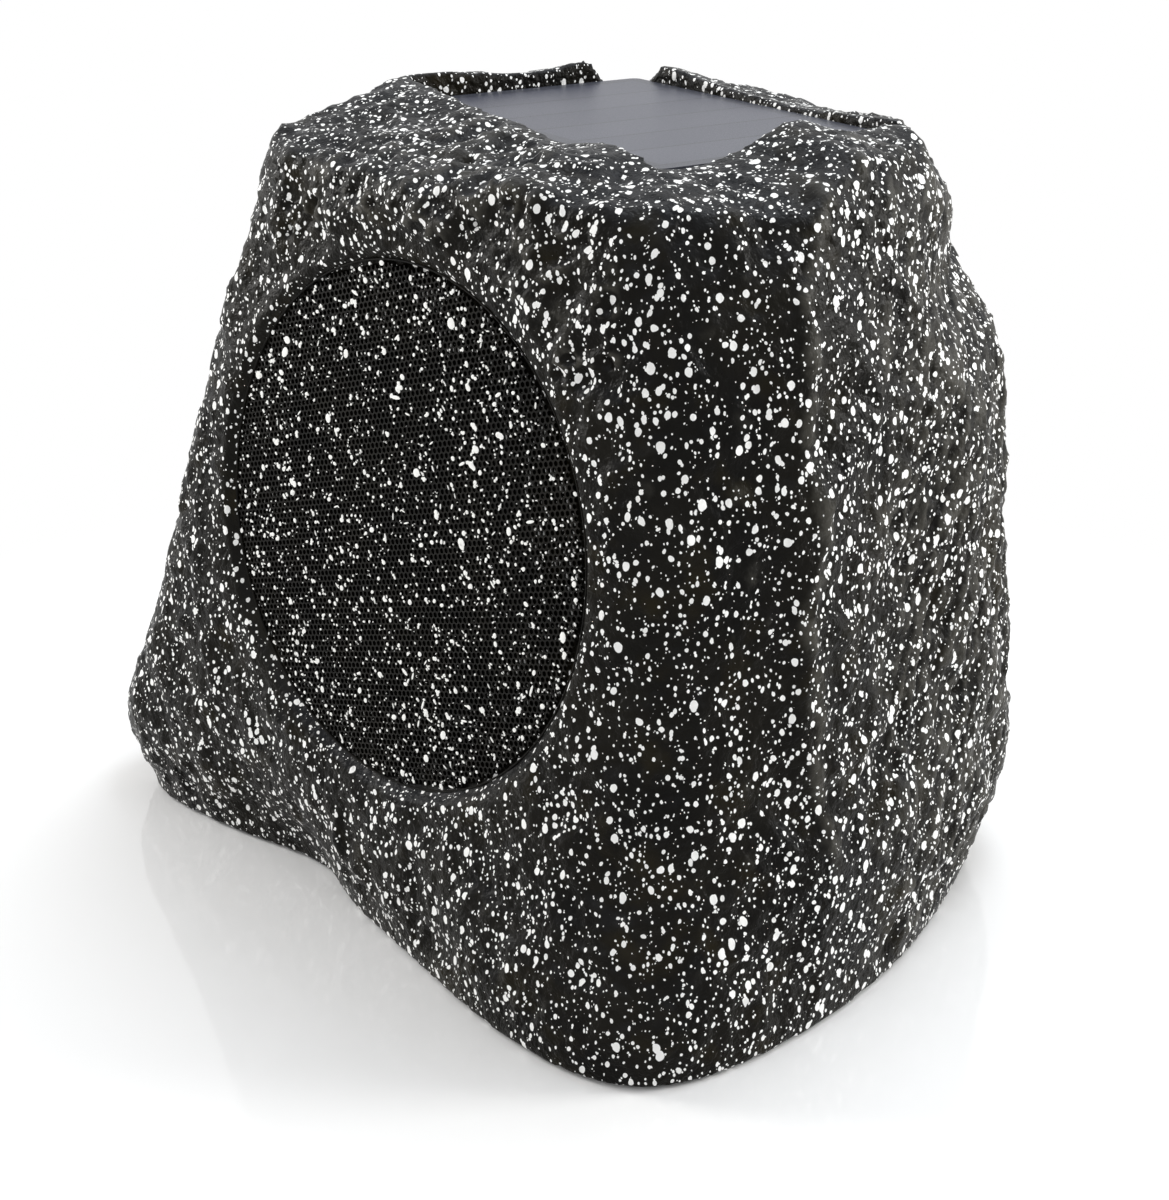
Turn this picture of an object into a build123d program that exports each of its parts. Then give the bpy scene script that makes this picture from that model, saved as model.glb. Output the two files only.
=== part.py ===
from build123d import *
import math
import os

# Solar garden speaker moulded as a boulder. Millimetres, +Z up, front towards -Y, standing on Z = 0.

# Boulder: upright planes round an axis, softened where they meet, with lobes pushed in and out of them.
# The axis stands off the middle of the footprint.
AXIS_X = 13.0
AXIS_Y = -2.0
EDGE_SHARPNESS = 10.0
# Each side: azimuth from +X, distance from the axis at the floor, lean back from upright
FRONT = (-90.0, 104.0, 6.5)
BACK = (90.0, 116.0, 5.0)
SIDES = [
    FRONT,
    (-28.0, 146.0, 5.0),
    (7.0, 130.0, 4.5),
    (52.0, 148.0, 5.0),
    BACK,
    (140.0, 152.0, 14.0),
    (182.0, 165.0, 17.5),
]
# Each shoulder: azimuth, distance from the axis at the shoulder line, lean back from upright
SHOULDERS = [
    (-95.0, 88.0, 48.0),
    (-42.0, 110.0, 40.0),
    (4.0, 114.0, 40.0),
    (52.0, 97.0, 42.0),
    (95.0, 102.0, 45.0),
    (140.0, 112.0, 46.0),
    (185.0, 99.0, 42.0),
]
# Each lobe: azimuth, height, how far it stands out, spread in azimuth, spread in height
LEFT_FOOT = (-148.0, 36.0, 7.0, 15.0, 34.0)
LEFT_TUCK = (-165.0, 0.0, -16.0, 34.0, 17.0)
FRONT_TUCK = (-103.0, 0.0, -6.0, 24.0, 14.0)
FRONT_WAIST = (-122.0, 4.0, -14.0, 15.0, 28.0)
NEAR_FOOT = (-48.0, 10.0, 11.0, 22.0, 34.0)
BACK_TUCK = (40.0, 0.0, -13.0, 30.0, 28.0)
SHOULDER_NOTCH = (32.0, 206.0, -12.0, 17.0, 17.0)
LEFT_SHOULDER = (-146.0, 213.0, -4.0, 22.0, 19.0)
LEFT_BROW = (-140.0, 252.0, 2.0, 16.0, 12.0)
BROW = (-92.0, 230.0, 4.0, 30.0, 8.0)
DARK_HOLLOW = (-31.0, 150.0, -3.2, 8.0, 58.0)
RIGHT_HOLLOW = (3.0, 122.0, -3.2, 9.0, 36.0)
RIGHT_SWELL = (20.0, 142.0, 3.2, 6.5, 45.0)
LOW_SWELL = (-4.0, 52.0, 2.6, 11.0, 24.0)
UPPER_HOLLOW = (-3.0, 205.0, -2.6, 8.0, 15.0)
BACK_HOLLOW = (118.0, 140.0, -4.0, 13.0, 42.0)
BACK_SWELL = (142.0, 95.0, 4.0, 10.0, 45.0)
LEFT_HOLLOW = (172.0, 120.0, -4.0, 14.0, 34.0)
LEFT_SWELL = (-170.0, 165.0, 3.5, 11.0, 26.0)
RIGHT_BACK_HOLLOW = (56.0, 110.0, -3.5, 10.0, 40.0)
LOBES = [LEFT_FOOT, LEFT_TUCK, FRONT_TUCK, FRONT_WAIST, NEAR_FOOT, BACK_TUCK, SHOULDER_NOTCH, LEFT_SHOULDER]
LOBES += [LEFT_BROW, BROW, DARK_HOLLOW, RIGHT_HOLLOW, RIGHT_SWELL, LOW_SWELL, UPPER_HOLLOW]
LOBES += [BACK_HOLLOW, BACK_SWELL, LEFT_HOLLOW, LEFT_SWELL, RIGHT_BACK_HOLLOW]
# Ridge between the near side and the right side: height, azimuth there, how far it stands out
RIDGE = [(0, -14, 0.0), (47, -15.5, 1.5), (86, -17.5, 3.2), (129, -19, 3.8), (157, -17.5, 3.8)]
RIDGE += [(185, -18.5, 4.0), (217, -18.5, 4.2), (243, -12, 3.0), (270, -10, 0.0)]
RIDGE_STEEP = 4.5
RIDGE_GENTLE = 9.0
SIDE_LEVELS = [10.0, 21.0, 34.0, 48.0, 64.0, 80.0, 96.0, 112.0, 128.0, 144.0, 160.0, 175.0, 187.0]
UPPER_LEVELS = [-50.0, -41.0, -32.0, -23.0, -14.0, -5.0, 4.0]
LEVEL_STEP = 5.0
OUTLINE_POINTS = 72
CAVITY_POINTS = 40
SHOULDER_DROP = 8.0
SHELL_WALL = 4.5
SKIRT_Z = 1.0

# Solar panel, let into the top
PANEL_TOP_Z = 246.0
PANEL_X = 15.0
PANEL_Y = 15.0
PANEL_TURN = -12.0
PANEL_LENGTH = 142.0
PANEL_WIDTH = 90.0
PANEL_CORNER = 3.0
PANEL_CLEARANCE = 0.4
COVER_THICKNESS = 2.0
BOARD_THICKNESS = 1.6
CELL_THICKNESS = 0.4
CELL_COUNT = 6
CELL_MARGIN = 5.0
CELL_GAP = 0.8
TAPE_THICKNESS = 1.0
TAPE_WIDTH = 9.0
DECK_THICKNESS = 4.0
PANEL_LEAD_HOLE = 4.0

# Rim of rock round the panel: how far along each edge, and how high its crest is above the panel
RIM_RISE = 13.0
RIM_FRONT = [(0, 9.0), (0.12, 7.6), (0.34, 4.8), (0.55, 3.2), (0.69, 1.8), (0.82, 4.8), (0.9, 4.6)]
RIM_FRONT += [(1, 1.5)]
RIM_RIGHT = [(0, 1.5), (0.17, 1.6), (0.34, 5.6), (0.53, 10.5), (0.67, 6.2), (0.87, 6.0), (1, 5.0)]
RIM_BACK = [(0, 5.0), (0.14, 4.6), (0.37, 2.8), (0.52, 3.4), (0.74, 5.2), (0.95, 7.6), (1, 8.0)]
RIM_LEFT = [(0, 4.0), (0.16, 9.5), (0.36, 6.6), (0.57, 6.8), (0.85, 8.8), (1, 9.2)]
RIM_SLOPE = 12.0
DRAIN_WIDTH = 4.5
DRAIN_DROP = 1.0
DRAIN_INSET = 4.0
DRAIN_TURN = 135.0

# Speaker, square to the front side
SPEAKER_X = 10.0
SPEAKER_Z = 135.5
GRILLE_RADIUS = 81.0
GRILLE_CLEARANCE = 0.4
GRILLE_DEPTH = 3.0
GRILLE_THICKNESS = 1.2
GRILLE_FRAME = 3.0
GRILLE_PITCH = 13.4
GRILLE_BAR = 1.8
DISH_FLARE = 36.0
BAFFLE_THICKNESS = 9.0
BAFFLE_LAND = 9.0
GASKET_THICKNESS = 2.0
FLANGE_RADIUS = 66.0
FLANGE_THICKNESS = 2.0
SURROUND_RADIUS = 57.0
SURROUND_LIP = 4.0
SURROUND_ROOM = 0.5
ROLL_RADIUS = 4.0
SKIN = 0.8
CONE_DEPTH = 16.0
DUST_CAP_RADIUS = 20.0
DUST_CAP_HEIGHT = 6.5
CAP_GLUE = 0.1
CONE_NECK = 1.0
BASKET_DEPTH = 40.0
BASKET_WALL = 1.8
BASKET_WINDOWS = 4
UPPER_WINDOW_WIDTH = 40.0
LOWER_WINDOW_WIDTH = 30.0
WINDOW_START = 24.0
BASKET_FLOOR_LAND = 1.0
SPIDER_DEPTH = 22.0
SPIDER_RADIUS = 41.0
SPIDER_LEDGE = 4.0
SPIDER_WAVE = 1.0
SPIDER_WAVES = 3
TOP_PLATE_RADIUS = 38.0
PLATE_THICKNESS = 5.0
MAGNET_RADIUS = 42.0
MAGNET_BORE = 20.0
MAGNET_THICKNESS = 15.0
POLE_RADIUS = 12.3
POLE_VENT = 4.0
FORMER_WALL = 0.5
COIL_BUILD = 0.6
COIL_GAP = 0.4
COIL_LENGTH = 9.0
SPEAKER_SCREW_BITE = 6.0
TAG_LENGTH = 16.0
TAG_THICKNESS = 1.6
TAG_HEIGHT = 9.0
LUG_THICKNESS = 0.8
LUG_WIDTH = 3.2
LUG_STEP = 8.0
LUG_DROP = 3.0

# Base plate, inside the shell's skirt
BASE_Z = 3.0
BASE_THICKNESS = 3.5
BASE_CLEARANCE = 1.2
SEAL_MARGIN = 1.0
SEAL_THICKNESS = 1.5
LEDGE_WIDTH = 12.0
LEDGE_THICKNESS = 4.0
BOSS_RADIUS = 4.5
BOSS_HEIGHT = 12.0
BASE_SCREW_AZIMUTHS = [-70.0, -20.0, 30.0, 88.0, 150.0, -160.0]
FOOT_RADIUS = 9.0
FOOT_SEAT = 1.0
FOOT_INSET = 24.0
FOOT_CLEARANCE = 0.2
FOOT_CHAMFER = 0.8
FOOT_AZIMUTHS = [-48.0, -138.0, 138.0, 46.0]

# Screws
SCREW_RADIUS = 1.75
SCREW_HEAD_RADIUS = 3.4
SCREW_HEAD_HEIGHT = 2.0
SCREW_CLEARANCE = 0.15
SMALL_SCREW_RADIUS = 1.2
SMALL_SCREW_HEAD_RADIUS = 2.4
SMALL_SCREW_HEAD_HEIGHT = 1.6
SMALL_SCREW_BITE = 4.0
HEAD_ROUNDING = 0.45
HOLE_COVER = 1.5
BASE_SCREW_BITE = 8.4

# Control plate on the back
CONTROL_X = 11.0
CONTROL_Z = 76.0
CONTROL_LENGTH = 84.0
CONTROL_HEIGHT = 46.0
CONTROL_CORNER = 8.0
CONTROL_THICKNESS = 5.0
CONTROL_SUNK = 0.8
CONTROL_CLEARANCE = 0.4
CONTROL_SEAL = 1.0
CONTROL_WALL = 5.0
WINDOW_LENGTH = 62.0
WINDOW_HEIGHT = 32.0
CONTROL_SCREW_INSET = 5.5
BUTTON_RADIUS = 6.0
BUTTON_CLEARANCE = 0.3
BUTTON_PROUD = 1.4
BUTTON_ROUNDING = 0.8
BUTTON_SKIRT = 1.5
BUTTON_SKIRT_HEIGHT = 1.5
BUTTON_STEM_RADIUS = 2.0
BUTTON_SEAT = 0.1
POWER_X = -20.0
PAIR_X = 0.0
BUTTON_Y = 2.0
LENS_X = -10.0
LENS_Y = 11.0
LENS_RADIUS = 2.2
LENS_GAP = 0.2
LED_HEIGHT = 1.0
LED_SIZE = 2.2
SWITCH_SIZE = 6.0
SWITCH_HEIGHT = 3.5
SWITCH_BODY = 2.5
SWITCH_STEM = 1.5
SWITCH_GAP = 0.95
CONTROL_BOARD_DEPTH = 9.0
BOARD_MARGIN = 2.0
POST_RADIUS = 2.8
POSTS = [(-10.0, -11.0), (11.0, -11.0), (11.0, 11.0)]

# Charging inlet and its hinged cover
INLET_X = 23.0
INLET_Y = 0.0
INLET_BORE = 3.0
INLET_WALL = 1.4
INLET_DEPTH = 9.5
INLET_PIN = 1.0
INLET_FLOOR = 1.2
INLET_SEAT = 0.3
COVER_SIZE = 17.0
COVER_PLATE = 2.4
COVER_CLEARANCE = 0.5
HINGE_RADIUS = 1.5
HINGE_PIN = 0.7
HINGE_PLAY = 0.05
HINGE_PIN_SEAT = 2.5
COVER_NAIL = 3.0

# Main board and battery, on the base plate
AMP_X = 46.0
AMP_Y = 24.0
AMP_LENGTH = 84.0
AMP_WIDTH = 58.0
STANDOFF_RADIUS = 3.5
STANDOFF_HEIGHT = 8.0
AMP_SCREW_INSET = 4.5
SINK_LENGTH = 40.0
SINK_WIDTH = 16.0
SINK_HEIGHT = 20.0
SINK_FOOT = 4.0
SINK_FINS = 5
SINK_FIN = 1.4
CAPACITOR_RADIUS = 6.0
CAPACITOR_HEIGHT = 18.0
CAPACITOR_GAP = 3.0
CAPACITOR_ROUNDING = 1.0
HEADER_LENGTH = 12.0
HEADER_WIDTH = 6.0
HEADER_HEIGHT = 8.0
HEADER_WALL = 1.2
HEADER_STEP = 18.0
BATTERY_X = -52.0
BATTERY_Y = 10.0
CELL_RADIUS = 9.2
CELL_LENGTH = 65.0
CELL_PLAY = 0.3
CELL_CAP_RADIUS = 3.0
CELL_CAP_HEIGHT = 1.5
TRAY_WALL = 2.0
TRAY_HEIGHT = 12.0

# Heights and depths that follow
CROWN_Z = PANEL_TOP_Z + RIM_RISE
SHOULDER_Z = PANEL_TOP_Z - SHOULDER_DROP
PANEL_SEAT_Z = PANEL_TOP_Z - COVER_THICKNESS - BOARD_THICKNESS - TAPE_THICKNESS
CAVITY_TOP_Z = PANEL_SEAT_Z - DECK_THICKNESS
BASE_TOP_Z = BASE_Z + BASE_THICKNESS
LEDGE_Z = BASE_TOP_Z + SEAL_THICKNESS
LEDGE_TOP_Z = LEDGE_Z + LEDGE_THICKNESS
SEAT_RADIUS = GRILLE_RADIUS + GRILLE_CLEARANCE
GRILLE_SEAT = GRILLE_DEPTH + GRILLE_THICKNESS
BAFFLE_BACK = GRILLE_SEAT + BAFFLE_THICKNESS
FLANGE_FRONT = BAFFLE_BACK + GASKET_THICKNESS
OPENING_RADIUS = SURROUND_RADIUS + SURROUND_ROOM
FLANGE_BORE = SURROUND_RADIUS - SURROUND_LIP
CONE_RADIUS = FLANGE_BORE - 2 * ROLL_RADIUS
FORMER_BORE = POLE_RADIUS + COIL_GAP
FORMER_RADIUS = FORMER_BORE + FORMER_WALL
COIL_RADIUS = FORMER_RADIUS + COIL_BUILD
GAP_RADIUS = COIL_RADIUS + COIL_GAP
SPEAKER_SCREW_RING = (FLANGE_RADIUS + OPENING_RADIUS) / 2
CONTROL_FLOOR = CONTROL_SUNK + CONTROL_THICKNESS + CONTROL_SEAL
CONTROL_BACK = CONTROL_SUNK + CONTROL_THICKNESS
CONTROL_BOARD_FACE = CONTROL_BACK + CONTROL_BOARD_DEPTH
HINGE_Y = INLET_Y + COVER_SIZE / 2 - HINGE_RADIUS
HINGE_Z = -CONTROL_SUNK - HINGE_RADIUS
COVER_BED = HINGE_Z - HINGE_RADIUS - COVER_CLEARANCE
BOARD_Z = BASE_TOP_Z + STANDOFF_HEIGHT
SCREW_HOLE = SCREW_RADIUS + SCREW_CLEARANCE
SMALL_SCREW_HOLE = SMALL_SCREW_RADIUS + SCREW_CLEARANCE
FAR = 400.0
PAST = 1.0
UP = (Align.CENTER, Align.CENTER, Align.MIN)
DOWN = (Align.CENTER, Align.CENTER, Align.MAX)


def side_y(side, z):
    """Distance of a side's plane from the axis at a height, along Y."""
    azimuth, distance, lean = side
    return AXIS_Y + math.sin(math.radians(azimuth)) * (distance - z * math.tan(math.radians(lean)))


def ridge_rise(azimuth, z):
    """How far the ridge lifts the side at a place: steep towards the front, gentle towards the back."""
    for (low, low_azimuth, low_size), (high, high_azimuth, high_size) in zip(RIDGE, RIDGE[1:]):
        if low <= z <= high:
            share = (z - low) / (high - low)
            crest = low_azimuth + share * (high_azimuth - low_azimuth)
            size = low_size + share * (high_size - low_size)
            turn = (azimuth - crest + 180) % 360 - 180
            return size * math.exp(-((turn / (RIDGE_GENTLE if turn > 0 else RIDGE_STEEP)) ** 2))
    return 0.0


def rock_radius(azimuth, z):
    """Radius of the boulder from its axis: planes joined by a soft edge, then the lobes and the ridge."""
    reach = 0.0
    planes = [(a, d, 0.0, lean) for a, d, lean in SIDES]
    planes += [(a, d, SHOULDER_Z, lean) for a, d, lean in SHOULDERS]
    for plane_azimuth, distance, height, lean in planes:
        facing = math.cos(math.radians(azimuth - plane_azimuth))
        away = distance - (z - height) * math.tan(math.radians(lean))
        if facing > 0:
            reach += (facing / away) ** EDGE_SHARPNESS
    radius = reach ** (-1 / EDGE_SHARPNESS)
    for lobe_azimuth, height, size, spread, height_spread in LOBES:
        turn = (azimuth - lobe_azimuth + 180) % 360 - 180
        radius += size * math.exp(-((turn / spread) ** 2) - ((z - height) / height_spread) ** 2)
    return radius + ridge_rise(azimuth, z)


def rock_point(azimuth, z, inset=0.0):
    radius = rock_radius(azimuth, z) - inset
    x = AXIS_X + radius * math.cos(math.radians(azimuth))
    y = AXIS_Y + radius * math.sin(math.radians(azimuth))
    return (x, y, z)


def rock_outline(z, inset=0.0, count=CAVITY_POINTS):
    """Closed smooth curve round the boulder at a height, with its seam at the back."""
    azimuths = [90 + 360 * i / count for i in range(count)]
    return Wire([Spline(*[rock_point(a, z, inset) for a in azimuths], periodic=True)])


def rock_body(top_z, inset, count):
    upper = [PANEL_TOP_Z + drop for drop in UPPER_LEVELS]
    levels = [z for z in SIDE_LEVELS if z < upper[0] - LEVEL_STEP]
    levels += [z for z in upper if z < top_z - LEVEL_STEP]
    return Solid.make_loft([rock_outline(z, inset, count) for z in [SKIRT_Z] + levels + [top_z]])


def slab(low, high):
    return Pos(0, 0, low) * Box(2 * FAR, 2 * FAR, high - low, align=UP)


def flat_piece(wire, low, high):
    """Plate cut to an outline, between two heights."""
    face = Face(wire)
    return Pos(0, 0, low - face.center().Z) * extrude(face, high - low, dir=(0, 0, 1))


def tube(outer, inner, low, high):
    ring = Cylinder(outer, high - low, align=UP) - Cylinder(inner, high - low, align=UP)
    return Pos(0, 0, low) * ring


def rod(radius, low, high):
    return Pos(0, 0, low) * Cylinder(radius, high - low, align=UP)


def turned(points):
    """Solid of revolution about Z from its half section, as radius and height."""
    return revolve(make_face(Plane.XZ * Polyline(*points, close=True)), Axis.Z)


def rounded_plate(length, width, corner, low, high):
    return Pos(0, 0, low) * extrude(RectangleRounded(length, width, corner), high - low)


def screw(head_radius, head_height, radius, grip):
    """Pan head screw: the head sits above Z = 0 and the shank goes down."""
    head = rod(head_radius, 0, head_height)
    head = fillet(head.edges().group_by(Axis.Z)[-1], head_height * HEAD_ROUNDING)
    return head + rod(radius, -grip, 0)


def main_screw(grip):
    return screw(SCREW_HEAD_RADIUS, SCREW_HEAD_HEIGHT, SCREW_RADIUS, grip)


def small_screw(grip):
    return screw(SMALL_SCREW_HEAD_RADIUS, SMALL_SCREW_HEAD_HEIGHT, SMALL_SCREW_RADIUS, grip)


# Places that pieces are set out from
lean_front = math.radians(FRONT[2])
lean_back = math.radians(BACK[2])
speaker = Plane(
    origin=(SPEAKER_X, side_y(FRONT, SPEAKER_Z), SPEAKER_Z),
    x_dir=(1, 0, 0),
    z_dir=(0, -math.cos(lean_front), math.sin(lean_front)),
)
driver = speaker.offset(-FLANGE_FRONT)
control = Plane(
    origin=(CONTROL_X, side_y(BACK, CONTROL_Z), CONTROL_Z),
    x_dir=(-1, 0, 0),
    z_dir=(0, math.cos(lean_back), math.sin(lean_back)),
)
panel = Location((PANEL_X, PANEL_Y, 0), (0, 0, PANEL_TURN))
speaker_screws_at = [Rot(0, 0, 45 + 90 * i) * Pos(SPEAKER_SCREW_RING, 0, 0) for i in range(4)]
control_screws_at = [
    Pos(x * (CONTROL_LENGTH / 2 - CONTROL_SCREW_INSET), y * (CONTROL_HEIGHT / 2 - CONTROL_SCREW_INSET), 0)
    for x in (-1, 1)
    for y in (-1, 1)
]
amp_screws_at = [
    Pos(AMP_X + x * (AMP_LENGTH / 2 - AMP_SCREW_INSET), AMP_Y + y * (AMP_WIDTH / 2 - AMP_SCREW_INSET), 0)
    for x in (-1, 1)
    for y in (-1, 1)
]
boss_inset = SHELL_WALL + LEDGE_WIDTH / 2
base_screws_at = [Pos(*rock_point(a, SKIRT_Z, boss_inset)[:2], 0) for a in BASE_SCREW_AZIMUTHS]
feet_at = [Pos(*rock_point(a, SKIRT_Z, FOOT_INSET)[:2], 0) for a in FOOT_AZIMUTHS]


def rim_cutter():
    """Takes the crown down to an uneven crest along each edge of the panel, sloping outwards."""
    half_length = PANEL_LENGTH / 2
    half_width = PANEL_WIDTH / 2
    edges = [
        (RIM_FRONT, PANEL_LENGTH, half_width, 0),
        (RIM_RIGHT, PANEL_WIDTH, half_length, 90),
        (RIM_BACK, PANEL_LENGTH, half_width, 180),
        (RIM_LEFT, PANEL_WIDTH, half_length, 270),
    ]
    reach = PANEL_LENGTH
    slope = math.radians(RIM_SLOPE)
    cutter = Part()
    for crest, length, away, turn in edges:
        points = [((share - 0.5) * length, PANEL_TOP_Z + height) for share, height in crest]
        first = (points[0][0] - reach, points[0][1])
        last = (points[-1][0] + reach, points[-1][1])
        top = CROWN_Z + RIM_RISE
        line = Line(first, points[0]) + Spline(*points) + Line(points[-1], last)
        line += Polyline(last, (last[0], top), (first[0], top), first)
        face = Plane.XZ * make_face(line)
        prism = extrude(face, reach, dir=(0, -math.cos(slope), -math.sin(slope)))
        cutter += Rot(0, 0, turn) * Pos(0, PANEL_CORNER + PAST - away, 0) * prism
    return panel * cutter


def make_rock_shell():
    outer = rock_body(CROWN_Z, 0.0, OUTLINE_POINTS)
    cavity = rock_body(CAVITY_TOP_Z, SHELL_WALL, CAVITY_POINTS)
    shell = outer - (cavity & slab(LEDGE_TOP_Z, CROWN_Z)) - (cavity & slab(-SKIRT_Z, LEDGE_Z))
    shell -= flat_piece(rock_outline(SKIRT_Z, SHELL_WALL + LEDGE_WIDTH), LEDGE_Z - PAST, LEDGE_TOP_Z + PAST)
    # Baffle behind the grille, and the thicker wall round the control plate
    baffle = speaker * rod(SEAT_RADIUS + BAFFLE_LAND, -BAFFLE_BACK, FAR / 4)
    control_rim = rounded_plate(
        CONTROL_LENGTH + 2 * CONTROL_WALL,
        CONTROL_HEIGHT + 2 * CONTROL_WALL,
        CONTROL_CORNER + CONTROL_WALL,
        -CONTROL_FLOOR - CONTROL_WALL,
        FAR / 8,
    )
    shell += (baffle & outer) + (control * control_rim & outer)
    bosses = Part()
    for place in base_screws_at:
        bosses += place * rod(BOSS_RADIUS, LEDGE_Z, LEDGE_Z + BOSS_HEIGHT)
    shell += bosses & outer
    # Speaker opening: flared dish, grille seat, bore and screw holes
    flare_out = FAR / 8
    flare_radius = SEAT_RADIUS + flare_out * math.tan(math.radians(DISH_FLARE))
    dish = Cone(SEAT_RADIUS, flare_radius, flare_out, align=UP)
    shell -= speaker * Pos(0, 0, -GRILLE_DEPTH) * dish
    shell -= speaker * rod(SEAT_RADIUS, -GRILLE_SEAT, 0)
    shell -= speaker * rod(OPENING_RADIUS, -BAFFLE_BACK - PAST, 0)
    screw_hole = rod(SCREW_HOLE, -BAFFLE_BACK - PAST, -GRILLE_SEAT - HOLE_COVER)
    for place in speaker_screws_at:
        shell -= speaker * place * screw_hole
    # Panel pocket, lead hole, rim and drain
    pocket = rounded_plate(
        PANEL_LENGTH + 2 * PANEL_CLEARANCE,
        PANEL_WIDTH + 2 * PANEL_CLEARANCE,
        PANEL_CORNER + PANEL_CLEARANCE,
        PANEL_SEAT_Z,
        CROWN_Z + PAST,
    )
    shell -= panel * pocket
    shell -= panel * rod(PANEL_LEAD_HOLE, CAVITY_TOP_Z - PAST, PANEL_SEAT_Z + PAST)
    shell -= rim_cutter()
    drain_length = PANEL_WIDTH
    drain = Pos(0, 0, PANEL_TOP_Z - DRAIN_DROP) * Box(drain_length, DRAIN_WIDTH, RIM_RISE * 2, align=UP)
    panel_corner = Pos(-PANEL_LENGTH / 2, PANEL_WIDTH / 2, 0)
    drain_at = panel_corner * Rot(0, 0, DRAIN_TURN) * Pos(drain_length / 2 - DRAIN_INSET, 0, 0)
    shell -= panel * drain_at * drain
    # Control plate recess, window and screw holes
    shell -= control * rounded_plate(
        CONTROL_LENGTH + 2 * CONTROL_CLEARANCE,
        CONTROL_HEIGHT + 2 * CONTROL_CLEARANCE,
        CONTROL_CORNER + CONTROL_CLEARANCE,
        -CONTROL_FLOOR,
        FAR / 8,
    )
    window_low = -CONTROL_FLOOR - 2 * CONTROL_WALL
    shell -= control * rounded_plate(WINDOW_LENGTH, WINDOW_HEIGHT, CONTROL_WALL, window_low, 0)
    for place in control_screws_at:
        shell -= control * place * rod(SMALL_SCREW_HOLE, -CONTROL_FLOOR - SMALL_SCREW_BITE, 0)
    for place in base_screws_at:
        shell -= place * rod(SCREW_HOLE, LEDGE_Z - PAST, LEDGE_Z + BOSS_HEIGHT - HOLE_COVER)
    return shell


def make_grille():
    """Round sheet with a solid border and a field of six-sided holes."""
    field = GRILLE_RADIUS - GRILLE_FRAME
    hole_radius = (GRILLE_PITCH - GRILLE_BAR) / math.sqrt(3)
    row_height = GRILLE_PITCH * math.sqrt(3) / 2
    rows = int(field / row_height)
    holes = []
    for row in range(-rows, rows + 1):
        shift = GRILLE_PITCH / 2 if row % 2 else 0
        columns = int(field / GRILLE_PITCH) + 1
        for column in range(-columns, columns + 1):
            x = column * GRILLE_PITCH + shift
            y = row * row_height
            if math.hypot(x, y) + hole_radius < field:
                holes.append(Pos(x, y, 0) * RegularPolygon(hole_radius, 6, rotation=30))
    sheet = Circle(GRILLE_RADIUS) - holes
    return speaker * Pos(0, 0, -GRILLE_SEAT) * extrude(sheet, GRILLE_THICKNESS)


def make_basket():
    """Pressed frame: flange, tapered wall with windows, spider ledge and a floor on the top plate."""
    floor_radius = TOP_PLATE_RADIUS
    floor_bore = GAP_RADIUS + BASKET_FLOOR_LAND
    wall_foot = floor_radius - BASKET_WALL
    wall_slope = (FLANGE_BORE - wall_foot) / (BASKET_DEPTH - FLANGE_THICKNESS)
    frame = turned(
        [
            (FLANGE_BORE, 0),
            (FLANGE_RADIUS, 0),
            (FLANGE_RADIUS, -FLANGE_THICKNESS),
            (FLANGE_BORE + BASKET_WALL, -FLANGE_THICKNESS),
            (floor_radius, -BASKET_DEPTH),
            (floor_bore, -BASKET_DEPTH),
            (floor_bore, -BASKET_DEPTH + BASKET_WALL),
            (wall_foot, -BASKET_DEPTH + BASKET_WALL),
        ]
    )
    wall_at_spider = wall_foot + (BASKET_DEPTH - SPIDER_DEPTH) * wall_slope
    ledge_bore = SPIDER_RADIUS - SPIDER_LEDGE
    ledge = tube(wall_at_spider + BASKET_WALL / 2, ledge_bore, -SPIDER_DEPTH - BASKET_WALL, -SPIDER_DEPTH)
    upper_window = SPIDER_DEPTH - FLANGE_THICKNESS - 3 * BASKET_WALL
    lower_window = BASKET_DEPTH - SPIDER_DEPTH - 4 * BASKET_WALL
    outward = (Align.MIN, Align.CENTER, Align.MAX)
    upper = Box(FLANGE_RADIUS, UPPER_WINDOW_WIDTH, upper_window, align=outward)
    lower = Box(FLANGE_RADIUS, LOWER_WINDOW_WIDTH, lower_window, align=outward)
    for i in range(BASKET_WINDOWS):
        turn = Rot(0, 0, 360 / BASKET_WINDOWS * i)
        frame -= turn * Pos(WINDOW_START, 0, -FLANGE_THICKNESS - BASKET_WALL) * upper
        frame -= turn * Pos(WINDOW_START, 0, -SPIDER_DEPTH - 2 * BASKET_WALL) * lower
    frame += ledge
    for place in speaker_screws_at:
        frame -= place * rod(SCREW_HOLE, -FLANGE_THICKNESS - PAST, PAST)
    return frame


def dome_line(radius, rim, top):
    """Arc from a dome's rim up to its top, which it meets level."""
    rise = top[1] - rim
    sphere = (radius**2 + rise**2) / (2 * rise)
    half = math.asin(radius / sphere) / 2
    middle = (sphere * math.sin(half), top[1] - sphere + sphere * math.cos(half))
    return ThreePointArc((radius, rim), middle, top)


def make_cone():
    """Straight paper cone from the coil former out to the surround."""
    return turned(
        [
            (FORMER_RADIUS, -CONE_DEPTH),
            (CONE_RADIUS, 0),
            (CONE_RADIUS + SKIN, 0),
            (CONE_RADIUS + SKIN, -SKIN),
            (FORMER_RADIUS, -CONE_DEPTH - CONE_NECK),
        ]
    )


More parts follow.
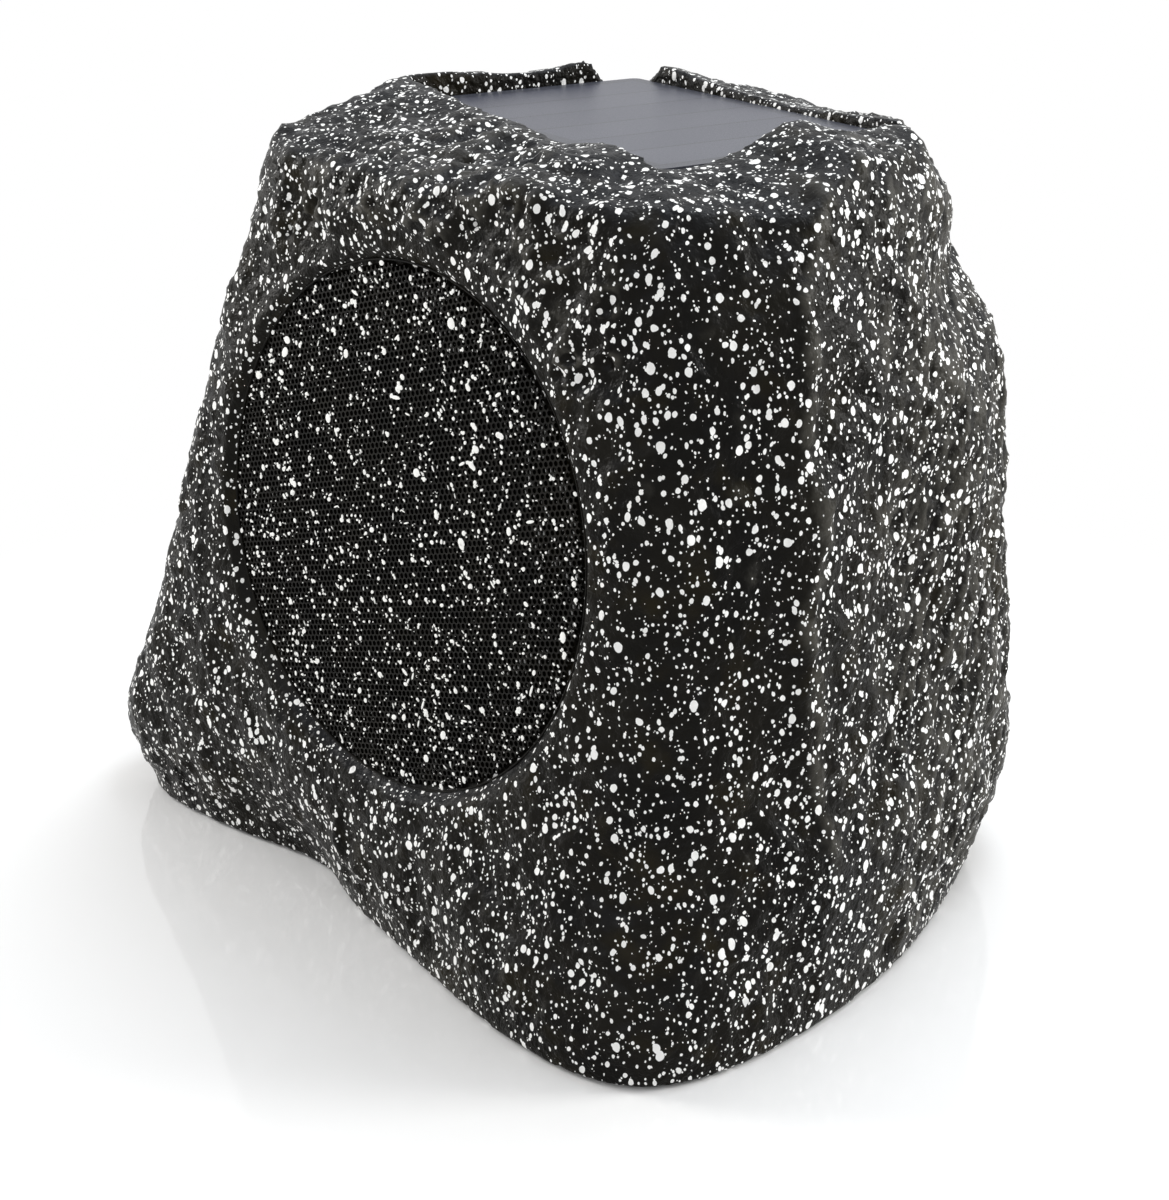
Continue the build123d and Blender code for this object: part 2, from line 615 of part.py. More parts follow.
def make_dust_cap():
    slope = CONE_DEPTH / (CONE_RADIUS - FORMER_RADIUS)
    rim = -CONE_DEPTH + (DUST_CAP_RADIUS - FORMER_RADIUS) * slope + CAP_GLUE
    outer_top = (0, rim + DUST_CAP_HEIGHT)
    inner_top = (0, outer_top[1] - SKIN)
    line = Line((DUST_CAP_RADIUS, rim), (DUST_CAP_RADIUS - SKIN, rim))
    line += dome_line(DUST_CAP_RADIUS - SKIN, rim, inner_top)
    line += Line(inner_top, outer_top)
    line += dome_line(DUST_CAP_RADIUS, rim, outer_top)
    return revolve(make_face(Plane.XZ * line), Axis.Z)


def make_surround():
    """Half roll between the cone's edge and a lip glued on the flange."""
    middle = FLANGE_BORE - ROLL_RADIUS
    lip_meets_roll = middle + math.sqrt(ROLL_RADIUS**2 - SKIN**2)
    inner_roll = ROLL_RADIUS - SKIN
    lip = [(SURROUND_RADIUS, 0), (SURROUND_RADIUS, SKIN)]
    line = Polyline((middle + inner_roll, 0), *lip, (lip_meets_roll, SKIN))
    line += ThreePointArc((lip_meets_roll, SKIN), (middle, ROLL_RADIUS), (middle - ROLL_RADIUS, 0))
    line += Line((middle - ROLL_RADIUS, 0), (middle - inner_roll, 0))
    line += ThreePointArc((middle - inner_roll, 0), (middle, inner_roll), (middle + inner_roll, 0))
    return revolve(make_face(Plane.XZ * line), Axis.Z)


def make_spider():
    """Corrugated disc from the former out to the basket's ledge."""
    lip = SPIDER_RADIUS - SPIDER_LEDGE
    steps = 4 * SPIDER_WAVES
    radii = [lip + (FORMER_RADIUS - lip) * i / steps for i in range(steps + 1)]
    waves = [SPIDER_WAVE * math.sin(math.pi / 2 * i) for i in range(steps + 1)]
    top = [(r, -SPIDER_DEPTH + SKIN + w) for r, w in zip(radii, waves)]
    bottom = [(r, -SPIDER_DEPTH + w) for r, w in zip(radii, waves)]
    rim = Polyline(bottom[0], (SPIDER_RADIUS, -SPIDER_DEPTH), (SPIDER_RADIUS, -SPIDER_DEPTH + SKIN), top[0])
    line = rim + Spline(*top) + Line(top[-1], bottom[-1]) + Spline(*bottom)
    return revolve(make_face(Plane.XZ * line), Axis.Z)


def make_pole_yoke():
    back = -BASKET_DEPTH - 2 * PLATE_THICKNESS - MAGNET_THICKNESS
    return turned(
        [
            (POLE_VENT, back),
            (TOP_PLATE_RADIUS, back),
            (TOP_PLATE_RADIUS, back + PLATE_THICKNESS),
            (POLE_RADIUS, back + PLATE_THICKNESS),
            (POLE_RADIUS, -BASKET_DEPTH),
            (POLE_VENT, -BASKET_DEPTH),
        ]
    )


def make_terminal_strip():
    """Tag board standing on the back of the flange, with two lugs."""
    ring = (FLANGE_RADIUS + FLANGE_BORE + BASKET_WALL) / 2
    board = Box(TAG_LENGTH, TAG_THICKNESS, TAG_HEIGHT, align=DOWN)
    pieces = [board]
    for x in (-LUG_STEP / 2, LUG_STEP / 2):
        lug = Box(LUG_WIDTH, LUG_THICKNESS, TAG_HEIGHT, align=DOWN)
        pieces.append(Pos(x, -(TAG_THICKNESS + LUG_THICKNESS) / 2, -LUG_DROP) * lug)
    return [Pos(0, -ring, -FLANGE_THICKNESS) * piece for piece in pieces]


def make_driver():
    """The driver's pieces, on the flange's front face, with the cone facing up."""
    gasket = tube(FLANGE_RADIUS, OPENING_RADIUS, 0, GASKET_THICKNESS)
    screws = []
    grip = FLANGE_THICKNESS + GASKET_THICKNESS + SPEAKER_SCREW_BITE
    for place in speaker_screws_at:
        gasket -= place * rod(SCREW_HOLE, -PAST, GASKET_THICKNESS + PAST)
        screws.append(place * Pos(0, 0, -FLANGE_THICKNESS) * Rot(180, 0, 0) * main_screw(grip))
    top_plate = -BASKET_DEPTH - PLATE_THICKNESS
    coil_low = -BASKET_DEPTH - PLATE_THICKNESS / 2 - COIL_LENGTH / 2
    return {
        "speaker_basket": make_basket(),
        "speaker_gasket": gasket,
        "speaker_screws": screws,
        "speaker_cone": make_cone(),
        "dust_cap": make_dust_cap(),
        "surround": make_surround(),
        "spider": make_spider(),
        "coil_former": tube(FORMER_RADIUS, FORMER_BORE, coil_low, -CONE_DEPTH + CONE_NECK),
        "voice_coil": tube(COIL_RADIUS, FORMER_RADIUS, coil_low, coil_low + COIL_LENGTH),
        "top_plate": tube(TOP_PLATE_RADIUS, GAP_RADIUS, top_plate, -BASKET_DEPTH),
        "magnet": tube(MAGNET_RADIUS, MAGNET_BORE, top_plate - MAGNET_THICKNESS, top_plate),
        "pole_yoke": make_pole_yoke(),
        "terminal_strip": make_terminal_strip(),
    }


def make_panel():
    """Solar panel: tape, board, row of cells and clear cover, from the pocket's floor up."""
    tape_top = PANEL_SEAT_Z + TAPE_THICKNESS
    board_top = tape_top + BOARD_THICKNESS
    tape_length = PANEL_LENGTH - 2 * PANEL_CORNER
    tape_width = PANEL_WIDTH - 2 * PANEL_CORNER
    tape = rounded_plate(tape_length, tape_width, PANEL_CORNER, PANEL_SEAT_Z, tape_top)
    hole_length = tape_length - 2 * TAPE_WIDTH
    hole_width = tape_width - 2 * TAPE_WIDTH
    tape -= rounded_plate(hole_length, hole_width, PANEL_CORNER, PANEL_SEAT_Z - PAST, tape_top + PAST)
    board = rounded_plate(PANEL_LENGTH, PANEL_WIDTH, PANEL_CORNER, tape_top, board_top)
    field_length = PANEL_LENGTH - 2 * CELL_MARGIN
    field_width = PANEL_WIDTH - 2 * CELL_MARGIN
    strip = (field_length - (CELL_COUNT - 1) * CELL_GAP) / CELL_COUNT
    cells = []
    for i in range(CELL_COUNT):
        x = -field_length / 2 + strip / 2 + i * (strip + CELL_GAP)
        cells.append(Pos(x, 0, board_top) * Box(strip, field_width, CELL_THICKNESS, align=UP))
    cover = rounded_plate(PANEL_LENGTH, PANEL_WIDTH, PANEL_CORNER, board_top, PANEL_TOP_Z)
    bed = Box(field_length + 2 * CELL_GAP, field_width + 2 * CELL_GAP, CELL_THICKNESS, align=UP)
    cover -= Pos(0, 0, board_top) * bed
    return {"panel_tape": tape, "solar_board": board, "solar_cells": cells, "solar_cover": cover}


def make_base():
    """Base plate inside the skirt, with its seal, screws and feet."""
    plate = flat_piece(rock_outline(SKIRT_Z, SHELL_WALL + BASE_CLEARANCE), BASE_Z, BASE_TOP_Z)
    seal_outer = rock_outline(SKIRT_Z, SHELL_WALL + BASE_CLEARANCE + SEAL_MARGIN)
    seal_inner = rock_outline(SKIRT_Z, SHELL_WALL + LEDGE_WIDTH - SEAL_MARGIN)
    seal = flat_piece(seal_outer, BASE_TOP_Z, LEDGE_Z)
    seal -= flat_piece(seal_inner, BASE_TOP_Z - PAST, LEDGE_Z + PAST)
    screws = []
    feet = []
    foot = chamfer(rod(FOOT_RADIUS, 0, BASE_Z + FOOT_SEAT).edges().group_by(Axis.Z)[0], FOOT_CHAMFER)
    grip = BASE_THICKNESS + SEAL_THICKNESS + BASE_SCREW_BITE
    for place in base_screws_at:
        hole = place * rod(SCREW_HOLE, BASE_Z - PAST, LEDGE_Z + PAST)
        plate -= hole
        seal -= hole
        screws.append(place * Pos(0, 0, BASE_Z) * Rot(180, 0, 0) * main_screw(grip))
    for place in feet_at:
        plate -= place * rod(FOOT_RADIUS + FOOT_CLEARANCE, BASE_Z - PAST, BASE_Z + FOOT_SEAT)
        feet.append(place * foot)
    for place in amp_screws_at:
        plate += place * rod(STANDOFF_RADIUS, BASE_TOP_Z, BOARD_Z)
    for place in amp_screws_at:
        plate -= place * rod(SMALL_SCREW_HOLE, BASE_TOP_Z + PAST, BOARD_Z + PAST)
    return {"base_plate": plate, "base_seal": seal, "base_screws": screws, "rubber_feet": feet}


def make_amplifier():
    """Main board on the base plate's standoffs, with what stands on it."""
    top = BOARD_Z + BOARD_THICKNESS
    board = Pos(AMP_X, AMP_Y, BOARD_Z) * Box(AMP_LENGTH, AMP_WIDTH, BOARD_THICKNESS, align=UP)
    screws = []
    for place in amp_screws_at:
        board -= place * rod(SMALL_SCREW_HOLE, BOARD_Z - PAST, top + PAST)
        screws.append(place * Pos(0, 0, top) * small_screw(BOARD_THICKNESS + SMALL_SCREW_BITE))
    sink = Box(SINK_LENGTH, SINK_WIDTH, SINK_FOOT, align=UP)
    fin_step = (SINK_WIDTH - SINK_FIN) / (SINK_FINS - 1)
    for i in range(SINK_FINS):
        y = -SINK_WIDTH / 2 + SINK_FIN / 2 + i * fin_step
        sink += Pos(0, y, 0) * Box(SINK_LENGTH, SINK_FIN, SINK_HEIGHT, align=UP)
    can = rod(CAPACITOR_RADIUS, 0, CAPACITOR_HEIGHT)
    can = fillet(can.edges().group_by(Axis.Z)[-1], CAPACITOR_ROUNDING)
    sink_y = AMP_Y + AMP_WIDTH / 2 - AMP_SCREW_INSET - SMALL_SCREW_HEAD_RADIUS - SINK_WIDTH / 2
    can_y = sink_y - SINK_WIDTH / 2 - CAPACITOR_RADIUS - CAPACITOR_GAP
    cans = [Pos(AMP_X + side * 2 * CAPACITOR_RADIUS, can_y, top) * can for side in (-1, 1)]
    header = Box(HEADER_LENGTH, HEADER_WIDTH, HEADER_HEIGHT, align=UP)
    slot = Box(HEADER_LENGTH - 2 * HEADER_WALL, HEADER_WIDTH - 2 * HEADER_WALL, HEADER_HEIGHT, align=UP)
    header -= Pos(0, 0, HEADER_WALL) * slot
    edge = AMP_Y - AMP_WIDTH / 2 + AMP_SCREW_INSET + HEADER_WIDTH / 2
    headers = [Pos(AMP_X + i * HEADER_STEP, edge, top) * header for i in (-1, 0, 1)]
    return {
        "amplifier_board": board,
        "board_screws": screws,
        "heat_sink": Pos(AMP_X, sink_y, top) * sink,
        "capacitors": cans,
        "connectors": headers,
    }


def make_battery():
    """Two cells side by side in a moulded tray on the base plate."""
    room = CELL_RADIUS + CELL_PLAY
    axis_z = BASE_TOP_Z + TRAY_WALL + room
    length = CELL_LENGTH + CELL_CAP_HEIGHT
    tray = Box(4 * room + 3 * TRAY_WALL, length + 2 * (CELL_PLAY + TRAY_WALL), TRAY_HEIGHT, align=UP)
    tray = Pos(BATTERY_X, BATTERY_Y, BASE_TOP_Z) * tray
    cells = []
    for side in (-1, 1):
        lie = Pos(BATTERY_X + side * (room + TRAY_WALL / 2), BATTERY_Y, axis_z) * Rot(90, 0, 0)
        low = -length / 2
        tray -= lie * rod(room, low - CELL_PLAY, -low + CELL_PLAY)
        cells.append(lie * (rod(CELL_RADIUS, low, low + CELL_LENGTH) + rod(CELL_CAP_RADIUS, 0, -low)))
    return {"battery_holder": tray, "battery_cells": cells}


def make_button(x):
    """Domed cap, a skirt that keeps it behind the plate, and a stem towards its switch."""
    top = -CONTROL_SUNK + BUTTON_PROUD
    skirt_top = -CONTROL_BACK - BUTTON_SEAT
    stem_end = -CONTROL_BOARD_FACE + SWITCH_HEIGHT + SWITCH_GAP
    cap = fillet(rod(BUTTON_RADIUS, skirt_top, top).edges().group_by(Axis.Z)[-1], BUTTON_ROUNDING)
    button = cap + rod(BUTTON_RADIUS + BUTTON_SKIRT, skirt_top - BUTTON_SKIRT_HEIGHT, skirt_top)
    button += rod(BUTTON_STEM_RADIUS, stem_end, skirt_top)
    return Pos(x, BUTTON_Y, 0) * button


def make_control_plate():
    """Plate let into the back, with holes for what shows and posts for its board."""
    plate = rounded_plate(CONTROL_LENGTH, CONTROL_HEIGHT, CONTROL_CORNER, -CONTROL_BACK, -CONTROL_SUNK)
    for x, y in POSTS:
        plate += Pos(x, y, 0) * rod(POST_RADIUS, -CONTROL_BOARD_FACE, -CONTROL_BACK)
    for x, y in POSTS:
        hole = rod(SMALL_SCREW_HOLE, -CONTROL_BOARD_FACE - PAST, -CONTROL_BACK + PAST)
        plate -= Pos(x, y, 0) * hole
    for x in (POWER_X, PAIR_X):
        plate -= Pos(x, BUTTON_Y, 0) * rod(BUTTON_RADIUS + BUTTON_CLEARANCE, -CONTROL_BACK - PAST, 0)
    plate -= Pos(LENS_X, LENS_Y, 0) * rod(LENS_RADIUS + BUTTON_CLEARANCE, -CONTROL_BACK - PAST, 0)
    head_seat = -CONTROL_SUNK - SMALL_SCREW_HEAD_HEIGHT
    for place in control_screws_at:
        plate -= place * rod(SMALL_SCREW_HOLE, -CONTROL_BACK - PAST, 0)
        plate -= place * rod(SMALL_SCREW_HEAD_RADIUS + BUTTON_CLEARANCE, head_seat, 0)
    # Bed of the inlet's cover, a finger notch below it, and the holes for the hinge pin
    bed_size = COVER_SIZE + 2 * COVER_CLEARANCE
    bed = Pos(INLET_X, INLET_Y, COVER_BED) * Box(bed_size, bed_size, FAR / 8, align=UP)
    notch = Pos(INLET_X, INLET_Y - bed_size / 2, 0) * rod(COVER_NAIL, -CONTROL_SUNK - COVER_PLATE, 0)
    inlet_hole = rod(INLET_BORE + INLET_WALL + BUTTON_CLEARANCE, -CONTROL_BACK - PAST, 0)
    plate -= [bed, notch, Pos(INLET_X, INLET_Y, 0) * inlet_hole]
    pin_start = INLET_X - bed_size / 2 - HINGE_PIN_SEAT
    pin_hole = Rot(0, 90, 0) * rod(HINGE_PIN + HINGE_PLAY, 0, CONTROL_LENGTH)
    plate -= Pos(pin_start, HINGE_Y, HINGE_Z) * pin_hole
    return plate


def make_inlet_cover():
    """Plate with a hinge barrel along its top edge."""
    low = INLET_Y - COVER_SIZE / 2
    plate = Box(COVER_SIZE, HINGE_Y - low, COVER_PLATE, align=(Align.CENTER, Align.MIN, Align.MAX))
    cover = Pos(INLET_X, low, -CONTROL_SUNK) * plate
    along = Pos(INLET_X - COVER_SIZE / 2, HINGE_Y, HINGE_Z) * Rot(0, 90, 0)
    cover += along * rod(HINGE_RADIUS, 0, COVER_SIZE)
    return cover - along * rod(HINGE_PIN + HINGE_PLAY, -PAST, COVER_SIZE + PAST)


def make_control():
    """Everything on the back: plate, seal, buttons, lens, inlet, its cover, and the board behind."""
    face = -CONTROL_BOARD_FACE
    seal = rounded_plate(CONTROL_LENGTH, CONTROL_HEIGHT, CONTROL_CORNER, -CONTROL_FLOOR, -CONTROL_BACK)
    low, high = -CONTROL_FLOOR - PAST, -CONTROL_BACK + PAST
    seal -= rounded_plate(WINDOW_LENGTH, WINDOW_HEIGHT, CONTROL_WALL, low, high)
    screws = []
    head_seat = -CONTROL_SUNK - SMALL_SCREW_HEAD_HEIGHT
    grip = CONTROL_FLOOR + head_seat + SMALL_SCREW_BITE
    for place in control_screws_at:
        seal -= place * rod(SMALL_SCREW_HOLE, low, high)
        screws.append(place * Pos(0, 0, head_seat) * small_screw(grip))
    lens = rod(LENS_RADIUS, face + LED_HEIGHT + LENS_GAP, -CONTROL_SUNK)
    lens += rod(LENS_RADIUS + BUTTON_SKIRT, -CONTROL_BACK - BUTTON_SKIRT_HEIGHT, -CONTROL_BACK)
    board_length = WINDOW_LENGTH - 2 * BOARD_MARGIN
    board_height = WINDOW_HEIGHT - 2 * BOARD_MARGIN
    board = Pos(0, 0, face) * Box(board_length, board_height, BOARD_THICKNESS, align=DOWN)
    board_screws = []
    for x, y in POSTS:
        hole = rod(SMALL_SCREW_HOLE, face - BOARD_THICKNESS - PAST, face + PAST)
        board -= Pos(x, y, 0) * hole
        turned_screw = Rot(180, 0, 0) * small_screw(BOARD_THICKNESS + SMALL_SCREW_BITE)
        board_screws.append(Pos(x, y, face - BOARD_THICKNESS) * turned_screw)
    switch = Box(SWITCH_SIZE, SWITCH_SIZE, SWITCH_BODY, align=UP)
    switch += rod(SWITCH_STEM, 0, SWITCH_HEIGHT)
    switches = [Pos(x, BUTTON_Y, face) * switch for x in (POWER_X, PAIR_X)]
    led = Pos(LENS_X, LENS_Y, face) * Box(LED_SIZE, LED_SIZE, LED_HEIGHT, align=UP)
    # Socket with a square foot on the board, a bore for the plug and a centre pin
    mouth = -CONTROL_SUNK - COVER_PLATE - INLET_SEAT
    foot = 2 * (INLET_BORE + INLET_WALL)
    inlet = rod(INLET_BORE + INLET_WALL, face, mouth)
    inlet += Pos(0, 0, face) * Box(foot, foot, INLET_FLOOR, align=UP)
    inlet -= rod(INLET_BORE, mouth - INLET_DEPTH, mouth + PAST)
    inlet += rod(INLET_PIN, mouth - INLET_DEPTH, mouth - INLET_FLOOR)
    pin_start = INLET_X - COVER_SIZE / 2 - COVER_CLEARANCE - HINGE_PIN_SEAT
    pin_length = COVER_SIZE + 2 * COVER_CLEARANCE + 2 * HINGE_PIN_SEAT
    return {
        "control_plate": make_control_plate(),
        "control_seal": seal,
        "control_screws": screws,
        "power_button": make_button(POWER_X),
        "pair_button": make_button(PAIR_X),
        "led_lens": Pos(LENS_X, LENS_Y, 0) * lens,
        "status_led": led,
        "control_board": board,
        "control_board_screws": board_screws,
        "tact_switches": switches,
        "charge_inlet": Pos(INLET_X, INLET_Y, 0) * inlet,
        "inlet_cover": make_inlet_cover(),
        "cover_pin": Pos(pin_start, HINGE_Y, HINGE_Z) * Rot(0, 90, 0) * rod(HINGE_PIN, 0, pin_length),
    }


def set_out(location, pieces):
    """Sets out pieces at a place: a list becomes one node of separate solids."""
    placed = {}
    for name, piece in pieces.items():
        if isinstance(piece, list):
            placed[name] = Compound(children=[location * single for single in piece])
        else:
            placed[name] = location * piece
    return placed


parts = {"rock_shell": make_rock_shell(), "speaker_grille": make_grille()}
parts |= set_out(driver.location, make_driver())
parts |= set_out(panel, make_panel())
parts |= set_out(Location(), make_base())
parts |= set_out(Location(), make_amplifier())
parts |= set_out(Location(), make_battery())
parts |= set_out(control.location, make_control())

os.makedirs("parts", exist_ok=True)
for name, part in parts.items():
    export_step(part, f"parts/{name}.step")
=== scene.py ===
"""Looks of the rock shaped garden speaker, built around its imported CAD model.

Blender's lengths are in metres. Numbers that are named here are in millimetres and degrees
unless a comment says otherwise.
"""
import math

import bmesh
import bpy
import numpy as np
from mathutils import Matrix, Vector
from mathutils.bvhtree import BVHTree


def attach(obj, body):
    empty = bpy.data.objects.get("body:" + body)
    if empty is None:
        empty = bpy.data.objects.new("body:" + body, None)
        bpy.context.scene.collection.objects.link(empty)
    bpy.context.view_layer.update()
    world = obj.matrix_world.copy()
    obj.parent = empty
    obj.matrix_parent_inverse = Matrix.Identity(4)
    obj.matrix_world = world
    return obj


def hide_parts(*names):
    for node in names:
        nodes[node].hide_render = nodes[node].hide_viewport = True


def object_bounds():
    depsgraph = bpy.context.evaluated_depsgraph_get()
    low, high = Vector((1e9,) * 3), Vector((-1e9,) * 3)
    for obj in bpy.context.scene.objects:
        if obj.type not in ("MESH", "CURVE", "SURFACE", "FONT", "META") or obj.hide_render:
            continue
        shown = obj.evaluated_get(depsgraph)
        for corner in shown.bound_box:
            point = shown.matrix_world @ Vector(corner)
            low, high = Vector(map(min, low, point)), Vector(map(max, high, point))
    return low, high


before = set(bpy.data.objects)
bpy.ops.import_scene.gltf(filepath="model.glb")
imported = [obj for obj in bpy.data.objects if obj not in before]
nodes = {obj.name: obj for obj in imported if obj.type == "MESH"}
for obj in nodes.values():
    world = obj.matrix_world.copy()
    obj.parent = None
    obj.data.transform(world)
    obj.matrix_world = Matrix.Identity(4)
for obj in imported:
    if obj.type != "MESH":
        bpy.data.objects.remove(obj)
cad_box = [list(corner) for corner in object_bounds()]
MM = 0.001

# Places of the CAD model that the looks are fitted to
FRONT_LEAN = math.radians(6.5)
SPEAKER_AT = np.array([10.0, -90.562, 135.5])
SPEAKER_OUT = np.array([0.0, -math.cos(FRONT_LEAN), math.sin(FRONT_LEAN)])
SPEAKER_UP = np.array([0.0, math.sin(FRONT_LEAN), math.cos(FRONT_LEAN)])
SPEAKER_RIGHT = np.array([1.0, 0.0, 0.0])
GRILLE_RADIUS = 81.0
GRILLE_FRONT = -3.0
GRILLE_THICKNESS = 1.2
GRILLE_BACK = GRILLE_FRONT - GRILLE_THICKNESS
PANEL_AT = np.array([15.0, 15.0])
PANEL_TURN = math.radians(-12.0)
PANEL_SIZE = np.array([142.0, 90.0])
PANEL_MARGIN = 5.0
PANEL_CELLS = 6
ROCK_AXIS = np.array([13.0, -2.0])
ROCK_REACH = 135
RIDGE_HEIGHTS = [0, 47, 86, 129, 157, 185, 217, 243, 270]
RIDGE_AZIMUTHS = [-14, -15.5, -17.5, -19, -17.5, -18.5, -18.5, -12, -10]
BACK_LEAN = math.radians(5.0)
BACK_OUT = np.array([0.0, math.cos(BACK_LEAN), math.sin(BACK_LEAN)])
BACK_UP = np.array([0.0, -math.sin(BACK_LEAN), math.cos(BACK_LEAN)])
BACK_LEFT = np.array([1.0, 0.0, 0.0])
CONTROL_AT = np.array([11.0, 107.351, 76.0])
CONTROL_SIZE = np.array([84.0, 46.0])
BACK_FROM_Y = 60

# Cast relief of the rock. Pairs are where a fade starts and where it is whole.
SKIN_SETBACK = 1.2
WARP_REACH, WARP_SIZE, WARP_SHIFT = 7, 40.0, 100.0
SWELL_HEIGHT, SWELL_SIZE = 1.2, 44.0
LUMP_HEIGHT, LUMP_SIZE = 1.5, 24.0
KNOB_HEIGHT, KNOB_SIZE, KNOB_FALL = 0.7, 8.0, 0.6
CHISEL_HEIGHT, CHISEL_SWAY = 0.85, 0.25
CHISEL_WIDTH, CHISEL_LENGTH, CHISEL_DEPTH = 5.0, 42.0, 30.0
CHISEL_ALONG = np.array([0.0, 0.45, 0.89])
CHISEL_ACROSS = np.array([0.0, 0.89, -0.45])
CHISEL_STARTS, CHISEL_ENDS = (-20, 6), (105, 40)
EDGE_HEIGHT, EDGE_WIDTH = 1.1, 3.5
EDGE_WAVE, EDGE_WAVE_SIZE = 0.7, 7.5
EDGE_FOOT, EDGE_TOP = (20, 70), (255, 235)
BROW_TURN, BROW_SPREAD, BROW_BACK = 82, 42, -60
BROW_STARTS, BROW_ENDS = (85, 96), (138, 112)
BROKEN_HEIGHT, BROKEN_SIZE, BROKEN_FALL, BROKEN_SHIFT = 1.6, 13.0, 0.6, 50
# Share of the broken relief in the mask of the painted highlights on the crests
BROKEN_HIGHLIGHT_SHARE = 0.4
PIT_SEED, PIT_COUNT = 5, 46
PIT_TURNS, PIT_REACHES, PIT_SIZES = (38, 128), (90, 118), (1.6, 4.2)
PIT_STRETCHES, PIT_DEPTHS = (1.0, 1.7), (0.8, 1.9)
PIT_LIP, PIT_LIP_AT, PIT_STEEPNESS = 0.45, 1.6, 1.5
DISH_FADE, DISH_DEPTH = (82.5, 91), 40
PANEL_FADE, PANEL_LEAST = (0.5, 12), 0.12
CONTROL_FADE = (0.5, 7)
FOOT_FADE = (2, 12)
LEDGE_HEIGHT, LEDGE_TURN, LEDGE_SPREAD = 3.2, 128, 9
LEDGE_Z, LEDGE_Z_SPREAD = 239, 8

# Mesh of the rock
VOXEL = 1.3
RELAX_FACTOR, RELAX_STEPS = 0.5, 3
RAY_START = 2.0
INSIDE_DROPPED = 0.93
ROCK_TRIANGLES = 190000

# Mesh of the grille. The hem's rows are the distance in from the rim, and the height.
MESH_PITCH, MESH_BAR, MESH_TURN = 2.0, 0.52, math.radians(17)
MESH_INSET, MESH_DROP = 0.3, 0.12
CORNERS_PER_MM = 50
HEM_STEPS = 180
HEM_SECTION = [
    (0.8, GRILLE_BACK),
    (0.1, GRILLE_BACK),
    (0.1, GRILLE_FRONT - 0.3),
    (0.3, GRILLE_FRONT),
    (0.6, GRILLE_FRONT),
    (0.8, GRILLE_FRONT - 0.3),
]

# Paint on the grille. The rows are the share of a drop's radius, and the height.
DROP_SEED, DROP_COUNT, DROP_INSET = 11, 2600, 1.5
DROP_USUAL, DROP_VARIETY, DROP_LARGEST = 0.33, 0.48, 1.4
DROP_UNEVEN = 0.16
DROP_ROWS = ((1.0, -0.16), (1.0, -0.02), (0.62, 0.09))
LARGE_DROP, LARGE_SIDES, SMALL_SIDES = 0.5, 9, 7
LONG_SHARE, LONG_SIZE, LONG_STRETCH = 0.14, 0.75, (1.8, 2.6)
ROUND_STRETCH = (1.0, 1.35)
CLUSTER_FROM, CLUSTER_COUNT, CLUSTER_REACH = 0.86, (1, 4), 1.1
CLUSTER_SIZES, CLUSTER_STRETCH = (0.5, 0.9), 1.1

# Screws and button marks
SAME_POINT = 0.001
RECESS_REACH, RECESS_HALF, RECESS_DEPTH, RECESS_PROUD = 1.45, 0.38, 0.8, 0.5
MARK_HALF, MARK_LOW, MARK_HIGH = 0.27, -0.15, 0.12
FACE_SLACK = 0.05

# Paint on the rock: size of a cell and radius of its drop, for each size of drops
SPLATTER = ((1.6, 0.23), (2.1, 0.4), (2.8, 0.58), (4.4, 0.92))
DROP_SOFTNESS = 0.05
DROP_LEAST, DROP_MOST = 0.55, 1.35
WOBBLE, WOBBLE_SIZE = (0.4, 0.4, 0.4), 1.3
SWAY, SWAY_SIZE = (1.8, 1.8, 1.8), 5.5
RUN_DOWN = (1.0, 1.0, 0.74)

# Stage, with its lengths in metres
FLOOR_SIZE, FLOOR_STEPS = 6.0, 2
FLOOR_GREY, FLOOR_ROUGHNESS = (0.93, 0.93, 0.93), 0.06
FLOOR_WHITE_FROM, FLOOR_WHITE_FULL = 0.17, 0.38
WORLD_LIGHT, WORLD_WHITE = 0.72, 1.0
CAMERA_AT, CAMERA_DOWN, CAMERA_TURN = (0.448, -0.445, 0.350), 22.904, 45


def smoothstep(low, high, value):
    t = np.clip((value - low) / (high - low), 0, 1)
    return t * t * (3 - 2 * t)


class Noise:
    """Gradient noise in three dimensions, the same on every run."""

    TABLE = 256
    GAIN = 1.5
    LAYER_SHIFT = 17.3
    RIDGE_SHIFT = 31.7

    def __init__(self, seed):
        random = np.random.default_rng(seed)
        order = random.permutation(self.TABLE)
        self.order = np.concatenate([order, order])
        slopes = random.normal(size=(self.TABLE, 3))
        self.slopes = slopes / np.linalg.norm(slopes, axis=1, keepdims=True)

    def __call__(self, points):
        last = self.TABLE - 1
        cell = np.floor(points).astype(int)
        part = points - cell
        fade = part**3 * (part * (part * 6 - 15) + 10)
        cell &= last
        total = np.zeros(len(points))
        for corner in np.ndindex(2, 2, 2):
            at = self.order[cell[:, 0] + corner[0]]
            at = self.order[(at + cell[:, 1] + corner[1]) & last]
            at = self.order[(at + cell[:, 2] + corner[2]) & last]
            weight = np.ones(len(points))
            for axis in range(3):
                weight *= fade[:, axis] if corner[axis] else 1 - fade[:, axis]
            total += weight * ((part - corner) * self.slopes[at]).sum(1)
        return self.GAIN * total

    def layers(self, points, size, count, fall=0.5):
        total = np.zeros(len(points))
        for i in range(count):
            total += fall**i * self(points * 2**i / size + self.LAYER_SHIFT * i)
        return total

    def ridges(self, points, size, count, fall=0.5):
        total = np.zeros(len(points))
        for i in range(count):
            crease = np.abs(self(points * 2**i / size + self.RIDGE_SHIFT * i))
            total += fall**i * (1 - 2 * crease)
        return total


def new_object(name, mesh):
    piece = bpy.data.objects.new(name, mesh)
    bpy.context.scene.collection.objects.link(piece)
    return piece


